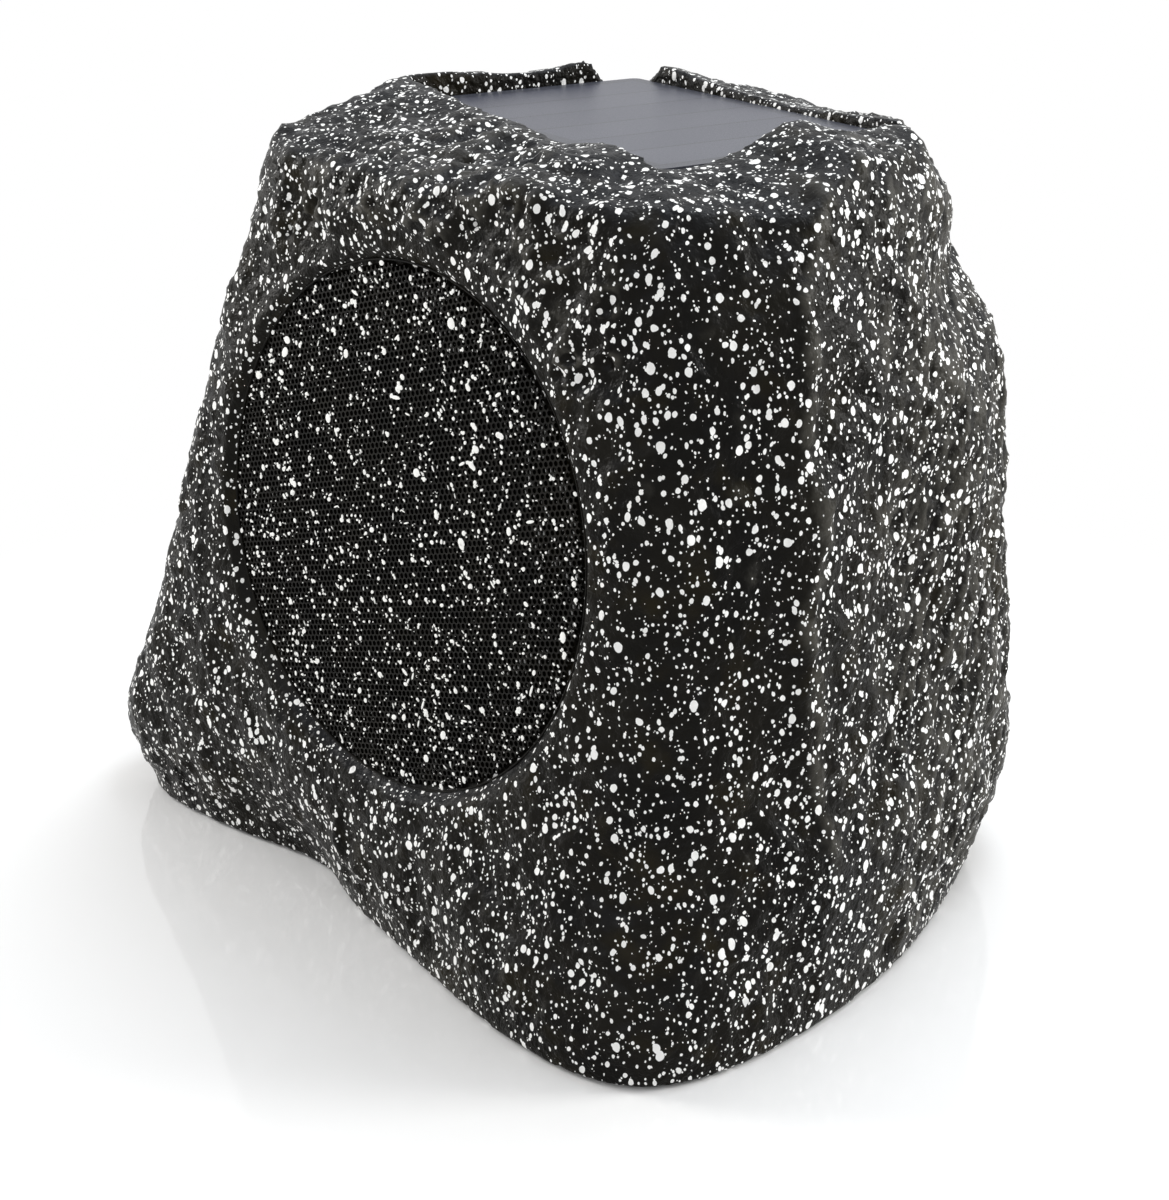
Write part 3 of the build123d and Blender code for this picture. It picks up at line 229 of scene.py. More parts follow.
def apply_modifiers(piece):
    """Puts the result of a piece's modifiers into its own mesh."""
    depsgraph = bpy.context.evaluated_depsgraph_get()
    mesh = bpy.data.meshes.new_from_object(piece.evaluated_get(depsgraph))
    piece.modifiers.clear()
    piece.data = mesh


def coordinates(mesh):
    flat = np.empty(len(mesh.vertices) * 3)
    mesh.vertices.foreach_get("co", flat)
    return flat.reshape(-1, 3)


def mesh_from(name, points, faces):
    mesh = bpy.data.meshes.new(name)
    mesh.from_pydata([tuple(p) for p in points], [], [tuple(f) for f in faces])
    mesh.validate()
    return mesh


def face_outwards(mesh, *others):
    """Joins other meshes to a mesh and turns all of its faces outwards."""
    bm = bmesh.new()
    for part in (mesh, *others):
        bm.from_mesh(part)
    bmesh.ops.recalc_face_normals(bm, faces=bm.faces)
    bm.to_mesh(mesh)
    bm.free()


def smooth_shade(mesh, angle=None):
    mesh.polygons.foreach_set("use_smooth", np.ones(len(mesh.polygons), bool))
    if angle is not None:
        mesh.set_sharp_from_angle(angle=math.radians(angle))


# Boulder


def speaker_polar(points):
    """Distance from the speaker's axis, angle round it and depth in front of its plane."""
    away = points - SPEAKER_AT
    x = away @ SPEAKER_RIGHT
    y = away @ SPEAKER_UP
    return np.hypot(x, y), np.arctan2(y, x), away @ SPEAKER_OUT


def outside_box(local, size):
    """How far outside a rectangle round the origin a flat point stands."""
    return np.linalg.norm(np.maximum(np.abs(local) - size / 2, 0), axis=1)


def panel_distance(points):
    """How far outside the panel's outline a point stands, seen from above."""
    x, y = (points[:, :2] - PANEL_AT).T
    c, s = math.cos(PANEL_TURN), math.sin(PANEL_TURN)
    return outside_box(np.stack([x * c + y * s, -x * s + y * c], 1), PANEL_SIZE)


def control_distance(points):
    """How far outside the control plate's outline a point on the back stands."""
    away = points - CONTROL_AT
    outside = outside_box(np.stack([away[:, 0], away @ BACK_UP], 1), CONTROL_SIZE)
    return np.where(points[:, 1] > BACK_FROM_Y, outside, np.inf)


def chisel_strokes(points, azimuth, sway, noise):
    """Combed strokes on the right side."""
    along = points @ CHISEL_ALONG
    across = points @ CHISEL_ACROSS + CHISEL_SWAY * sway
    stroke = np.stack(
        [across / CHISEL_WIDTH, along / CHISEL_LENGTH, points[:, 0] / CHISEL_DEPTH], 1
    )
    right = smoothstep(*CHISEL_STARTS, azimuth) * smoothstep(*CHISEL_ENDS, azimuth)
    return CHISEL_HEIGHT * right * noise.ridges(stroke, 1.0, 2, 0.5)


def ridge_edge(azimuth, z):
    """Wandering edge between the near side and the right side."""
    line = np.interp(z, RIDGE_HEIGHTS, RIDGE_AZIMUTHS) + EDGE_WAVE * np.sin(z / EDGE_WAVE_SIZE)
    away = (azimuth - line) * math.radians(1) * ROCK_REACH
    edge = EDGE_HEIGHT * np.exp(-((away / EDGE_WIDTH) ** 2))
    return edge * smoothstep(*EDGE_TOP, z) * smoothstep(*EDGE_FOOT, z)


def brow_share(radius, turn, front):
    """How much a point belongs to the brow over the speaker."""
    over = np.exp(-(((np.degrees(turn) - BROW_TURN) / BROW_SPREAD) ** 2))
    return over * smoothstep(*BROW_STARTS, radius) * smoothstep(*BROW_ENDS, radius) * front


def brow_pits(radius, turn, front):
    """Pits strewn over the brow, each with a raised lip."""
    random = np.random.default_rng(PIT_SEED)
    place = np.stack([radius * np.cos(turn), radius * np.sin(turn)], 1)
    pits = np.zeros(len(radius))
    for _ in range(PIT_COUNT):
        angle = math.radians(random.uniform(*PIT_TURNS))
        reach = random.uniform(*PIT_REACHES)
        size = random.uniform(*PIT_SIZES)
        away = place - np.array([reach * math.cos(angle), reach * math.sin(angle)])
        away[:, 1] *= random.uniform(*PIT_STRETCHES)
        near = (np.linalg.norm(away, axis=1) / size) ** 2
        lip = PIT_LIP * np.exp(-((near - PIT_LIP_AT) ** 2))
        bowl = np.exp(-(near**PIT_STEEPNESS))
        pits += front * random.uniform(*PIT_DEPTHS) * (lip - bowl)
    return pits


def rock_relief(points):
    """How far the cast surface stands out from the plain boulder, and its fine part alone."""
    azimuth = np.degrees(np.arctan2(points[:, 1] - ROCK_AXIS[1], points[:, 0] - ROCK_AXIS[0]))
    z = points[:, 2]
    wide, middle, fine, bend = Noise(3), Noise(8), Noise(21), Noise(34)
    bends = [bend.layers(points + WARP_SHIFT * k, WARP_SIZE, 2) for k in range(3)]
    warp = np.stack(bends, 1) * WARP_REACH
    warped = points + warp
    radius, turn, depth = speaker_polar(points)
    front = depth > BROW_BACK
    swell = SWELL_HEIGHT * wide.layers(warped, SWELL_SIZE, 2)
    lumps = LUMP_HEIGHT * middle.ridges(warped, LUMP_SIZE, 3, 0.5)
    knobs = KNOB_HEIGHT * fine.layers(points, KNOB_SIZE, 4, KNOB_FALL)
    chisel = chisel_strokes(points, azimuth, warp[:, 0], middle)
    edge = ridge_edge(azimuth, z)
    broken = BROKEN_HEIGHT * brow_share(radius, turn, front)
    broken *= middle.ridges(warped + BROKEN_SHIFT, BROKEN_SIZE, 2, BROKEN_FALL)
    pits = brow_pits(radius, turn, front)
    # Fine part alone: where the painted highlights on the crests go
    small = knobs + chisel + edge + BROKEN_HIGHLIGHT_SHARE * broken + pits
    total = swell + lumps + edge + broken + knobs + chisel + pits - SKIN_SETBACK
    # Calm round the speaker, the panel, the control plate and the foot
    calm = smoothstep(*DISH_FADE, radius) + (np.abs(depth) > DISH_DEPTH)
    beside_panel = smoothstep(*PANEL_FADE, panel_distance(points))
    keep = np.clip(calm, 0, 1) * (PANEL_LEAST + (1 - PANEL_LEAST) * beside_panel)
    keep *= smoothstep(*CONTROL_FADE, control_distance(points)) * smoothstep(*FOOT_FADE, z)
    # Ledge under the panel's corner at the drain gap
    off_turn, off_z = (azimuth - LEDGE_TURN) / LEDGE_SPREAD, (z - LEDGE_Z) / LEDGE_Z_SPREAD
    ledge = LEDGE_HEIGHT * np.exp(-(off_turn**2) - off_z**2)
    return total * keep + ledge, small * keep


def make_rock():
    source = nodes["rock_shell"]
    rock = new_object("rock_skin", source.data.copy())
    remesh = rock.modifiers.new("voxels", "REMESH")
    remesh.mode = "VOXEL"
    remesh.voxel_size = VOXEL * MM
    relax = rock.modifiers.new("relax", "SMOOTH")
    relax.factor = RELAX_FACTOR
    relax.iterations = RELAX_STEPS
    apply_modifiers(rock)
    mesh = rock.data
    points = coordinates(mesh)
    normals = np.empty(len(points) * 3)
    mesh.vertex_normals.foreach_get("vector", normals)
    normals = normals.reshape(-1, 3)
    # A point of the outer skin sees open air along its normal
    tree = BVHTree.FromPolygons(
        [v.co for v in source.data.vertices], [p.vertices for p in source.data.polygons]
    )
    starts = points + normals * (RAY_START * MM)
    outer = np.array(
        [tree.ray_cast(Vector(p), Vector(n))[0] is None for p, n in zip(starts, normals)]
    )
    relief, small = rock_relief(points / MM)
    relief[~outer] = 0
    small[~outer] = 0
    points = np.clip(points + normals * relief[:, None] * MM, cad_box[0], cad_box[1])
    mesh.vertices.foreach_set("co", points.ravel())
    # The fine relief, kept to place the painted highlights on the crests
    crest = mesh.attributes.new("crest", "FLOAT", "POINT")
    crest.data.foreach_set("value", small)
    # The inside is plain, so it needs few faces
    inner = rock.vertex_groups.new(name="inside")
    inner.add([int(i) for i in np.flatnonzero(~outer)], 1.0, "REPLACE")
    plain = rock.modifiers.new("plain", "DECIMATE")
    plain.ratio = 1 - INSIDE_DROPPED * (1 - outer.mean())
    plain.vertex_group = "inside"
    apply_modifiers(rock)
    count = sum(len(p.vertices) - 2 for p in rock.data.polygons)
    thin = rock.modifiers.new("thin", "DECIMATE")
    thin.ratio = min(1.0, ROCK_TRIANGLES / count)
    apply_modifiers(rock)
    smooth_shade(rock.data)
    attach(rock, "housing")
    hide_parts("rock_shell")
    return rock


# Grille


def on_speaker(x, y, z):
    """Point in metres from millimetres in the speaker's plane."""
    return (SPEAKER_AT + x * SPEAKER_RIGHT + y * SPEAKER_UP + z * SPEAKER_OUT) * MM


def honeycomb(edge):
    """Corners of the sheet's cells, and each cell's middle with the numbers of its corners."""
    row_height = MESH_PITCH * math.sqrt(3) / 2
    reach = MESH_PITCH / math.sqrt(3)
    rows = int(edge / row_height) + 1
    angles = [math.radians(60 * k + 30) for k in range(6)]
    corners, points, cells = {}, [], []

    def corner_index(x, y):
        key = (round(x * CORNERS_PER_MM), round(y * CORNERS_PER_MM))
        if key not in corners:
            corners[key] = len(points)
            points.append((x, y))
        return corners[key]

    for row in range(-rows, rows + 1):
        for column in range(-rows - 2, rows + 3):
            x = (column + (0.5 if row % 2 else 0)) * MESH_PITCH
            y = row * row_height
            if math.hypot(x, y) + reach > edge:
                continue
            ring = [corner_index(x + reach * math.cos(a), y + reach * math.sin(a)) for a in angles]
            cells.append((x, y, ring))
    return points, cells


def grille_hem():
    """Mesh of the thin hem round the sheet."""
    n = len(HEM_SECTION)
    points, faces = [], []
    for i in range(HEM_STEPS):
        angle = 2 * math.pi * i / HEM_STEPS
        here, ahead = i * n, ((i + 1) % HEM_STEPS) * n
        for k, (inset, z) in enumerate(HEM_SECTION):
            r = GRILLE_RADIUS - inset
            points.append(on_speaker(r * math.cos(angle), r * math.sin(angle), z))
            following = (k + 1) % n
            faces.append((here + k, here + following, ahead + following, ahead + k))
    return mesh_from("grille_hem", points, faces)


def make_grille():
    """Perforated sheet: a honeycomb of fine bars with a thin hem round it."""
    points, cells = honeycomb(GRILLE_RADIUS - MESH_INSET)
    c, s = math.cos(MESH_TURN), math.sin(MESH_TURN)
    verts, faces = [], []

    def add(x, y, z):
        verts.append(on_speaker(x * c - y * s, x * s + y * c, z))
        return len(verts) - 1

    outline = [add(x, y, GRILLE_BACK) for x, y in points]
    front_z = GRILLE_FRONT - MESH_DROP
    shrink = 1 - MESH_BAR / MESH_PITCH
    # What closes the front: a bar for each pair of corners, and a joint for each corner
    fronts = {}
    for x0, y0, ring in cells:
        hole = []
        for i in ring:
            x, y = points[i]
            hole.append(add(x0 + (x - x0) * shrink, y0 + (y - y0) * shrink, front_z))
        for k in range(6):
            n = (k + 1) % 6
            a, b = ring[k], ring[n]
            x, y = points[a]
            faces.append((outline[a], outline[b], hole[n], hole[k]))
            fronts.setdefault((min(a, b), max(a, b)), []).append((a, hole[k], b, hole[n]))
            fronts.setdefault(a, []).append((math.atan2(y0 - y, x0 - x), hole[k]))
    for key, sides in fronts.items():
        if isinstance(key, tuple):
            if len(sides) == 2:
                (_, a0, _, b0), (_, b1, _, a1) = sides
                faces.append((a0, b0, b1, a1))
            else:
                a, a0, b, b0 = sides[0]
                faces.append((a0, b0, outline[b], outline[a]))
        elif len(sides) == 3:
            faces.append([i for _, i in sorted(sides)])
        elif len(sides) == 2:
            faces.append((sides[0][1], sides[1][1], outline[key]))
    sheet = mesh_from("grille_mesh", verts, faces)
    face_outwards(sheet, grille_hem())
    grille = new_object("grille_sheet", sheet)
    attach(grille, "housing")
    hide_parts("speaker_grille")
    return grille


def make_grille_paint():
    """Drops of white paint that bridge the holes of the sheet."""
    random = np.random.default_rng(DROP_SEED)
    verts, faces = [], []

    def drop(x, y, size, stretch, turn):
        sides = LARGE_SIDES if size > LARGE_DROP else SMALL_SIDES
        radii = size * (1 + DROP_UNEVEN * random.normal(size=sides))
        radii = 0.5 * radii + 0.25 * (np.roll(radii, 1) + np.roll(radii, -1))
        c, s = math.cos(turn), math.sin(turn)
        first = len(verts)
        for share, z in DROP_ROWS:
            for k in range(sides):
                a = 2 * math.pi * k / sides
                u = share * radii[k] * math.cos(a) * stretch
                v = share * radii[k] * math.sin(a) / math.sqrt(stretch)
                verts.append(on_speaker(x + u * c - v * s, y + u * s + v * c, GRILLE_FRONT + z))
        for low in (first, first + sides):
            for k in range(sides):
                n = (k + 1) % sides
                faces.append((low + k, low + n, low + sides + n, low + sides + k))
        faces.append([first + 2 * sides + k for k in range(sides)])
        faces.append([first + k for k in reversed(range(sides))])

    for _ in range(DROP_COUNT):
        reach = (GRILLE_RADIUS - DROP_INSET) * math.sqrt(random.uniform())
        angle = random.uniform(0, 2 * math.pi)
        x, y = reach * math.cos(angle), reach * math.sin(angle)
        size = min(DROP_LARGEST, DROP_USUAL * math.exp(DROP_VARIETY * random.normal()))
        kind = random.uniform()
        turn = random.uniform(0, math.pi)
        if kind < LONG_SHARE:
            drop(x, y, size * LONG_SIZE, random.uniform(*LONG_STRETCH), turn)
        else:
            drop(x, y, size, random.uniform(*ROUND_STRETCH), turn)
        if kind > CLUSTER_FROM:
            for _ in range(random.integers(*CLUSTER_COUNT)):
                a = random.uniform(0, 2 * math.pi)
                beside_x = x + CLUSTER_REACH * size * math.cos(a)
                beside_y = y + CLUSTER_REACH * size * math.sin(a)
                less = size * random.uniform(*CLUSTER_SIZES)
                drop(beside_x, beside_y, less, CLUSTER_STRETCH, turn)
    paint = new_object("grille_paint", mesh_from("grille_paint", verts, faces))
    smooth_shade(paint.data, angle=50)
    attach(paint, "housing")
    return paint


# Screws and button marks


def loose_parts(bm):
    """Points of each loose part of a mesh."""
    left = set(bm.verts)
    parts = []
    for start in bm.verts:
        if start not in left:
            continue
        left.remove(start)
        part, stack = [], [start]
        while stack:
            vert = stack.pop()
            part.append(vert.co.copy())
            for edge in vert.link_edges:
                other = edge.other_vert(vert)
                if other in left:
                    left.remove(other)
                    stack.append(other)
        parts.append(part)
    return parts


def make_screws(node, out):
    """Copy of a node's screws with a cross recess cut into each head."""
    piece = new_object(node + "_recessed", nodes[node].data.copy())
    bm = bmesh.new()
    bm.from_mesh(piece.data)
    bmesh.ops.remove_doubles(bm, verts=bm.verts, dist=SAME_POINT * MM)
    bm.to_mesh(piece.data)
    out = Vector(out).normalized()
    side = out.orthogonal().normalized()
    turn = Matrix((side, out.cross(side), out)).transposed()
    reach, half = RECESS_REACH * MM, RECESS_HALF * MM
    cross = [(reach, half), (half, half), (half, reach)]
    cross += [(-half, reach), (-half, half), (-reach, half)]
    cross += [(-x, -y) for x, y in cross]
    n = len(cross)
    points, faces = [], []
    for screw in loose_parts(bm):
        top = max(p.dot(out) for p in screw)
        middle = sum(screw, Vector()) / len(screw)
        head = middle + out * (top - middle.dot(out))
        low = len(points)
        high = low + n
        for z in (-RECESS_DEPTH * MM, RECESS_PROUD * MM):
            points += [head + turn @ Vector((x, y, z)) for x, y in cross]
        faces += [(low + k, low + (k + 1) % n, high + (k + 1) % n, high + k) for k in range(n)]
        faces += [list(range(high, high + n)), list(range(high - 1, low - 1, -1))]
    bm.free()
    cutter = new_object(node + "_cutter", mesh_from(node + "_cutter", points, faces))
    cut = piece.modifiers.new("recess", "BOOLEAN")
    cut.operation = "DIFFERENCE"
    cut.solver = "EXACT"
    cut.object = cutter
    apply_modifiers(piece)
    bpy.data.objects.remove(cutter)
    smooth_shade(piece.data, angle=35)
    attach(piece, "housing")
    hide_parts(node)
    return piece


def make_mark(node, lines):
    """Raised lines on a button's face, each a row of points round the button's middle."""
    source = coordinates(nodes[node].data) / MM
    out = source @ BACK_OUT
    face = source[out > out.max() - FACE_SLACK].mean(0)
    section = (
        (MARK_HALF, MARK_LOW),
        (MARK_HALF, MARK_HIGH),
        (-MARK_HALF, MARK_HIGH),
        (-MARK_HALF, MARK_LOW),
    )
    points, faces = [], []
    for line, closed in lines:
        line = np.array(line)
        ahead = np.roll(line, -1, 0) - np.roll(line, 1, 0)
        if not closed:
            ahead[0], ahead[-1] = line[1] - line[0], line[-1] - line[-2]
        across = np.stack([-ahead[:, 1], ahead[:, 0]], 1)
        across /= np.linalg.norm(ahead, axis=1, keepdims=True)
        first, n = len(points), len(line)
        for here, aside in zip(line, across):
            for reach, z in section:
                x, y = here + reach * aside
                points.append((face - x * BACK_LEFT + y * BACK_UP + z * BACK_OUT) * MM)
        for i in range(n if closed else n - 1):
            a, b = first + 4 * i, first + 4 * ((i + 1) % n)
            faces += [(a + k, a + (k + 1) % 4, b + (k + 1) % 4, b + k) for k in range(4)]
        if not closed:
            end = first + 4 * n
            faces += [tuple(range(first + 3, first - 1, -1)), tuple(range(end - 4, end))]
    mesh = mesh_from(node + "_mark", points, faces)
    face_outwards(mesh)
    mark = new_object(node + "_mark", mesh)
    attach(mark, node)
    return mark


def ring_line(radius, start, end, steps):
    angles = np.radians(np.linspace(start, end, steps))
    return np.stack([radius * np.cos(angles), radius * np.sin(angles)], 1)


# Materials


class Graph:
    """Small helper for building a material's nodes."""

    def __init__(self, name):
        self.material = bpy.data.materials.new(name)
        self.material.use_nodes = True
        self.tree = self.material.node_tree
        self.tree.nodes.clear()
        self.output = self.node("ShaderNodeOutputMaterial")
        self.shader = self.node("ShaderNodeBsdfPrincipled")
        self.link(self.shader.outputs["BSDF"], self.output.inputs["Surface"])

    def node(self, kind, **settings):
        node = self.tree.nodes.new(kind)
        for key, value in settings.items():
            setattr(node, key, value)
        return node

    def link(self, source, target):
        self.tree.links.new(source, target)

    def feed(self, socket, value):
        """Sets a socket to a number or a colour, or links another socket to it."""
        if isinstance(value, (int, float)):
            socket.default_value = value
        elif isinstance(value, tuple):
            socket.default_value = value + (1.0,)
        else:
            self.link(value, socket)

    def place(self):
        """Object coordinates in millimetres."""
        coordinate = self.node("ShaderNodeTexCoord")
        scaled = self.node("ShaderNodeVectorMath", operation="SCALE")
        scaled.inputs["Scale"].default_value = 1 / MM
        self.link(coordinate.outputs["Object"], scaled.inputs[0])
        return scaled.outputs[0]

    def stretch(self, vector, factors):
        node = self.node("ShaderNodeVectorMath", operation="MULTIPLY")
        self.link(vector, node.inputs[0])
        node.inputs[1].default_value = factors
        return node.outputs[0]

    def displace(self, vector, noise, reach):
        node = self.node("ShaderNodeVectorMath", operation="MULTIPLY_ADD")
        self.link(noise.outputs["Color"], node.inputs[0])
        node.inputs[1].default_value = reach
        self.link(vector, node.inputs[2])
        return node.outputs[0]

    def noise(self, vector, size, detail=3.0, roughness=0.55):
        node = self.node("ShaderNodeTexNoise")
        node.inputs["Scale"].default_value = 1 / size
        node.inputs["Detail"].default_value = detail
        node.inputs["Roughness"].default_value = roughness
        self.link(vector, node.inputs["Vector"])
        return node

    def math(self, operation, a, b=None):
        node = self.node("ShaderNodeMath", operation=operation)
        for socket, value in zip(node.inputs, (a, b)):
            if value is not None:
                self.feed(socket, value)
        return node.outputs[0]

    def ramp(self, value, low, high, to_low=0.0, to_high=1.0, smooth=False):
        kind = "SMOOTHSTEP" if smooth else "LINEAR"
        node = self.node("ShaderNodeMapRange", interpolation_type=kind)
        node.inputs["From Min"].default_value = low
        node.inputs["From Max"].default_value = high
        node.inputs["To Min"].default_value = to_low
        node.inputs["To Max"].default_value = to_high
        self.link(value, node.inputs["Value"])
        return node.outputs["Result"]

    def blend(self, factor, a, b):
        """Mix of two colours, each a colour or a socket."""
        node = self.node("ShaderNodeMix", data_type="RGBA")
        self.link(factor, node.inputs[0])
        self.feed(node.inputs[6], a)
        self.feed(node.inputs[7], b)
        return node.outputs[2]

    def bump(self, height, depth, normal=None):
        """Normal of a surface with bumps of a depth in millimetres."""
        node = self.node("ShaderNodeBump")
        node.inputs["Distance"].default_value = depth * MM
        self.link(height, node.inputs["Height"])
        if normal is not None:
            self.link(normal, node.inputs["Normal"])
        return node.outputs["Normal"]

    def set(self, **values):
        for key, value in values.items():
            self.feed(self.shader.inputs[key.replace("_", " ")], value)


def linear(r, g, b):
    """Linear colour from the usual 0 to 255 numbers."""
    shares = (r / 255, g / 255, b / 255)
    return tuple(v / 12.92 if v <= 0.04 else ((v + 0.055) / 1.055) ** 2.4 for v in shares)


def spots(graph, vector, cell, radius):
    """Mask of one size of drops: balls of uneven size strewn in space and cut by the surface."""
    node = graph.node("ShaderNodeTexVoronoi", feature="F1")
    node.inputs["Scale"].default_value = 1 / cell
    node.inputs["Randomness"].default_value = 1.0
    graph.link(vector, node.inputs["Vector"])
    split = graph.node("ShaderNodeSeparateColor")
    graph.link(node.outputs["Color"], split.inputs["Color"])
    share = radius / cell
    reach = graph.ramp(split.outputs["Red"], 0, 1, DROP_LEAST * share, DROP_MOST * share)
    inside = graph.math("SUBTRACT", reach, node.outputs["Distance"])
    return graph.ramp(inside, -DROP_SOFTNESS * share, DROP_SOFTNESS * share)


def splatter(graph, vector):
    """Mask of all the paint drops on a surface."""
    moved = graph.displace(vector, graph.noise(vector, WOBBLE_SIZE, 2.0), WOBBLE)
    moved = graph.displace(moved, graph.noise(vector, SWAY_SIZE, 1.0), SWAY)
    # Drops that ran a little: longer upright than across
    run = graph.stretch(moved, RUN_DOWN)
    mask = None
    for cell, radius in SPLATTER:
        layer = spots(graph, run, cell, radius)
        mask = layer if mask is None else graph.math("MAXIMUM", mask, layer)
    return mask


def rock_material():
    graph = Graph("rock")
    vector = graph.place()
    cloud = graph.noise(vector, 26.0, 4.0).outputs["Fac"]
    patch = graph.noise(vector, 17.0, 2.0).outputs["Fac"]
    lumps = graph.noise(vector, 4.5, 3.0).outputs["Fac"]
    grain = graph.noise(vector, 2.2, 4.0, 0.6).outputs["Fac"]
    black, dark = linear(11, 10, 8), linear(23, 21, 16)
    brown, highlight_grey = linear(36, 31, 16), linear(84, 82, 76)
    sky_sheen_grey, white = linear(66, 69, 76), linear(250, 250, 248)
    colour = graph.blend(graph.ramp(cloud, 0.35, 0.65), black, dark)
    colour = graph.blend(graph.ramp(patch, 0.55, 0.75, 0.0, 0.7), colour, brown)
    # Painted highlights: a lighter grey on the crests of the fine relief
    crest = graph.node("ShaderNodeAttribute", attribute_name="crest")
    painted_crest_highlight = graph.ramp(crest.outputs["Fac"], 0.3, 1.5, 0.0, 0.62, smooth=True)
    colour = graph.blend(painted_crest_highlight, colour, highlight_grey)
    # Painted sky reflection: a bluish grey on what faces up
    facing = graph.node("ShaderNodeSeparateXYZ")
    graph.link(graph.node("ShaderNodeNewGeometry").outputs["Normal"], facing.inputs[0])
    painted_sky_sheen = graph.ramp(facing.outputs[2], 0.2, 0.95, 0.0, 0.22, smooth=True)
    colour = graph.blend(painted_sky_sheen, colour, sky_sheen_grey)
    mask = splatter(graph, vector)
    colour = graph.blend(mask, colour, white)
    rough = graph.math(
        "ADD", graph.ramp(grain, 0.3, 0.7, 0.26, 0.42), graph.ramp(mask, 0, 1, 0.0, 0.08)
    )
    normal = graph.bump(grain, 0.35, normal=graph.bump(lumps, 1.5))
    graph.set(Base_Color=colour, Roughness=rough, Normal=normal, Specular_IOR_Level=0.08)
    return graph.material


def grille_material():
    graph = Graph("grille_steel")
    vector = graph.place()
    grain = graph.noise(vector, 0.8).outputs["Fac"]
    tone = graph.noise(vector, 18.0).outputs["Fac"]
    black, dark = linear(12, 11, 9), linear(23, 21, 17)
    graph.set(
        Base_Color=graph.blend(graph.ramp(tone, 0.35, 0.65), black, dark),
        Roughness=graph.ramp(grain, 0.3, 0.7, 0.35, 0.55),
        Normal=graph.bump(grain, 0.08),
        Specular_IOR_Level=0.1,
    )
    return graph.material


def paint_material():
    graph = Graph("white_paint")
    grain = graph.noise(graph.place(), 0.5).outputs["Fac"]
    off_white, white = linear(238, 238, 234), linear(250, 250, 247)
    graph.set(
        Base_Color=graph.blend(grain, off_white, white),
        Roughness=graph.ramp(grain, 0.3, 0.7, 0.4, 0.55),
        Normal=graph.bump(grain, 0.06),
    )
    return graph.material


def panel_material():
    """Frosted cover with the row of cells seen through it."""
    graph = Graph("panel_cover")
    vector = graph.place()
    c, s = math.cos(-PANEL_TURN), math.sin(-PANEL_TURN)
    turned = graph.node("ShaderNodeMapping")
    turned.inputs["Location"].default_value = (
        -(PANEL_AT[0] * c - PANEL_AT[1] * s),
        -(PANEL_AT[0] * s + PANEL_AT[1] * c),
        0.0,
    )
    turned.inputs["Rotation"].default_value = (0.0, 0.0, -PANEL_TURN)
    graph.link(vector, turned.inputs["Vector"])
    split = graph.node("ShaderNodeSeparateXYZ")
    graph.link(turned.outputs[0], split.inputs[0])
    x, y = split.outputs[0], split.outputs[1]
    # A shift by whole pitches keeps what is counted above nought
    shift = 40.0
    cell = float(PANEL_SIZE[0] - 2 * PANEL_MARGIN) / PANEL_CELLS
    finger_pitch = 2.6

    def count(value, pitch):
        return graph.math("ADD", graph.math("DIVIDE", value, pitch), shift)

    def lines(value, pitch, low, high):
        off = graph.math("SUBTRACT", graph.math("FRACT", count(value, pitch)), 0.5)
        return graph.ramp(graph.math("ABSOLUTE", off), low, high)

    def margin(value, size):
        inner = float(size) / 2 - PANEL_MARGIN
        return graph.ramp(graph.math("ABSOLUTE", value), inner - 0.3, inner + 0.3)

    # Every other cell, fine fingers along the panel, cell borders across it, and the margin
    odd = graph.math("MODULO", graph.math("FLOOR", count(x, cell)), 2.0)
    fingers = lines(y, finger_pitch, 0.42, 0.49)
    borders = lines(x, cell, 0.47, 0.49)
    margins = graph.math("MAXIMUM", margin(x, PANEL_SIZE[0]), margin(y, PANEL_SIZE[1]))
    tone = graph.noise(vector, 40.0).outputs["Fac"]
    colour = graph.blend(tone, linear(64, 66, 77), linear(76, 78, 89))
    for mask, strength, tint in (
        (odd, 0.25, linear(58, 60, 72)),
        (fingers, 0.16, linear(98, 100, 110)),
        (borders, 0.9, linear(40, 42, 51)),
        (margins, 0.6, linear(52, 54, 62)),
    ):
        colour = graph.blend(graph.math("MULTIPLY", mask, strength), colour, tint)
    frost = graph.noise(vector, 0.35).outputs["Fac"]
    graph.set(
        Base_Color=colour,
        Roughness=graph.ramp(frost, 0.3, 0.7, 0.32, 0.46),
        Normal=graph.bump(frost, 0.03),
        Specular_IOR_Level=0.35,
    )
    return graph.material


def plain_material(name, colour, rough, grain, depth, metallic=0.0, spread=0.18, stretch=None):
    """Procedural finish: colour that drifts, uneven gloss and a fine grain of a depth."""
    drift_size, uneven, smoothest = grain * 22, 0.07, 0.05
    graph = Graph(name)
    vector = graph.place()
    if stretch is not None:
        vector = graph.stretch(vector, stretch)
    fine = graph.noise(vector, grain, 4.0, 0.6).outputs["Fac"]
    drift = graph.noise(vector, drift_size).outputs["Fac"]
    low = tuple(v * (1 - spread) for v in colour)
    high = tuple(min(1.0, v * (1 + spread)) for v in colour)
    graph.set(
        Base_Color=graph.blend(graph.ramp(drift, 0.3, 0.7), low, high),
        Roughness=graph.ramp(fine, 0.3, 0.7, max(smoothest, rough - uneven), rough + uneven),
        Normal=graph.bump(fine, depth),
        Metallic=metallic,
    )
    if not metallic:
        graph.set(Specular_IOR_Level=0.3)
    return graph.material


def dress(piece, material):
    piece.data.materials.clear()
    piece.data.materials.append(material)


# Stage, lights and camera


def shown_rays(tree):
    """Socket that is one for rays that show a thing, straight on, in a mirror or through glass."""
    path = tree.nodes.new("ShaderNodeLightPath")
    shown = path.outputs["Is Camera Ray"]
    for kind in ("Is Glossy Ray", "Is Transmission Ray"):
        either = tree.nodes.new("ShaderNodeMath")
        either.operation = "MAXIMUM"
        tree.links.new(shown, either.inputs[0])
        tree.links.new(path.outputs[kind], either.inputs[1])
        shown = either.outputs[0]
    return shown


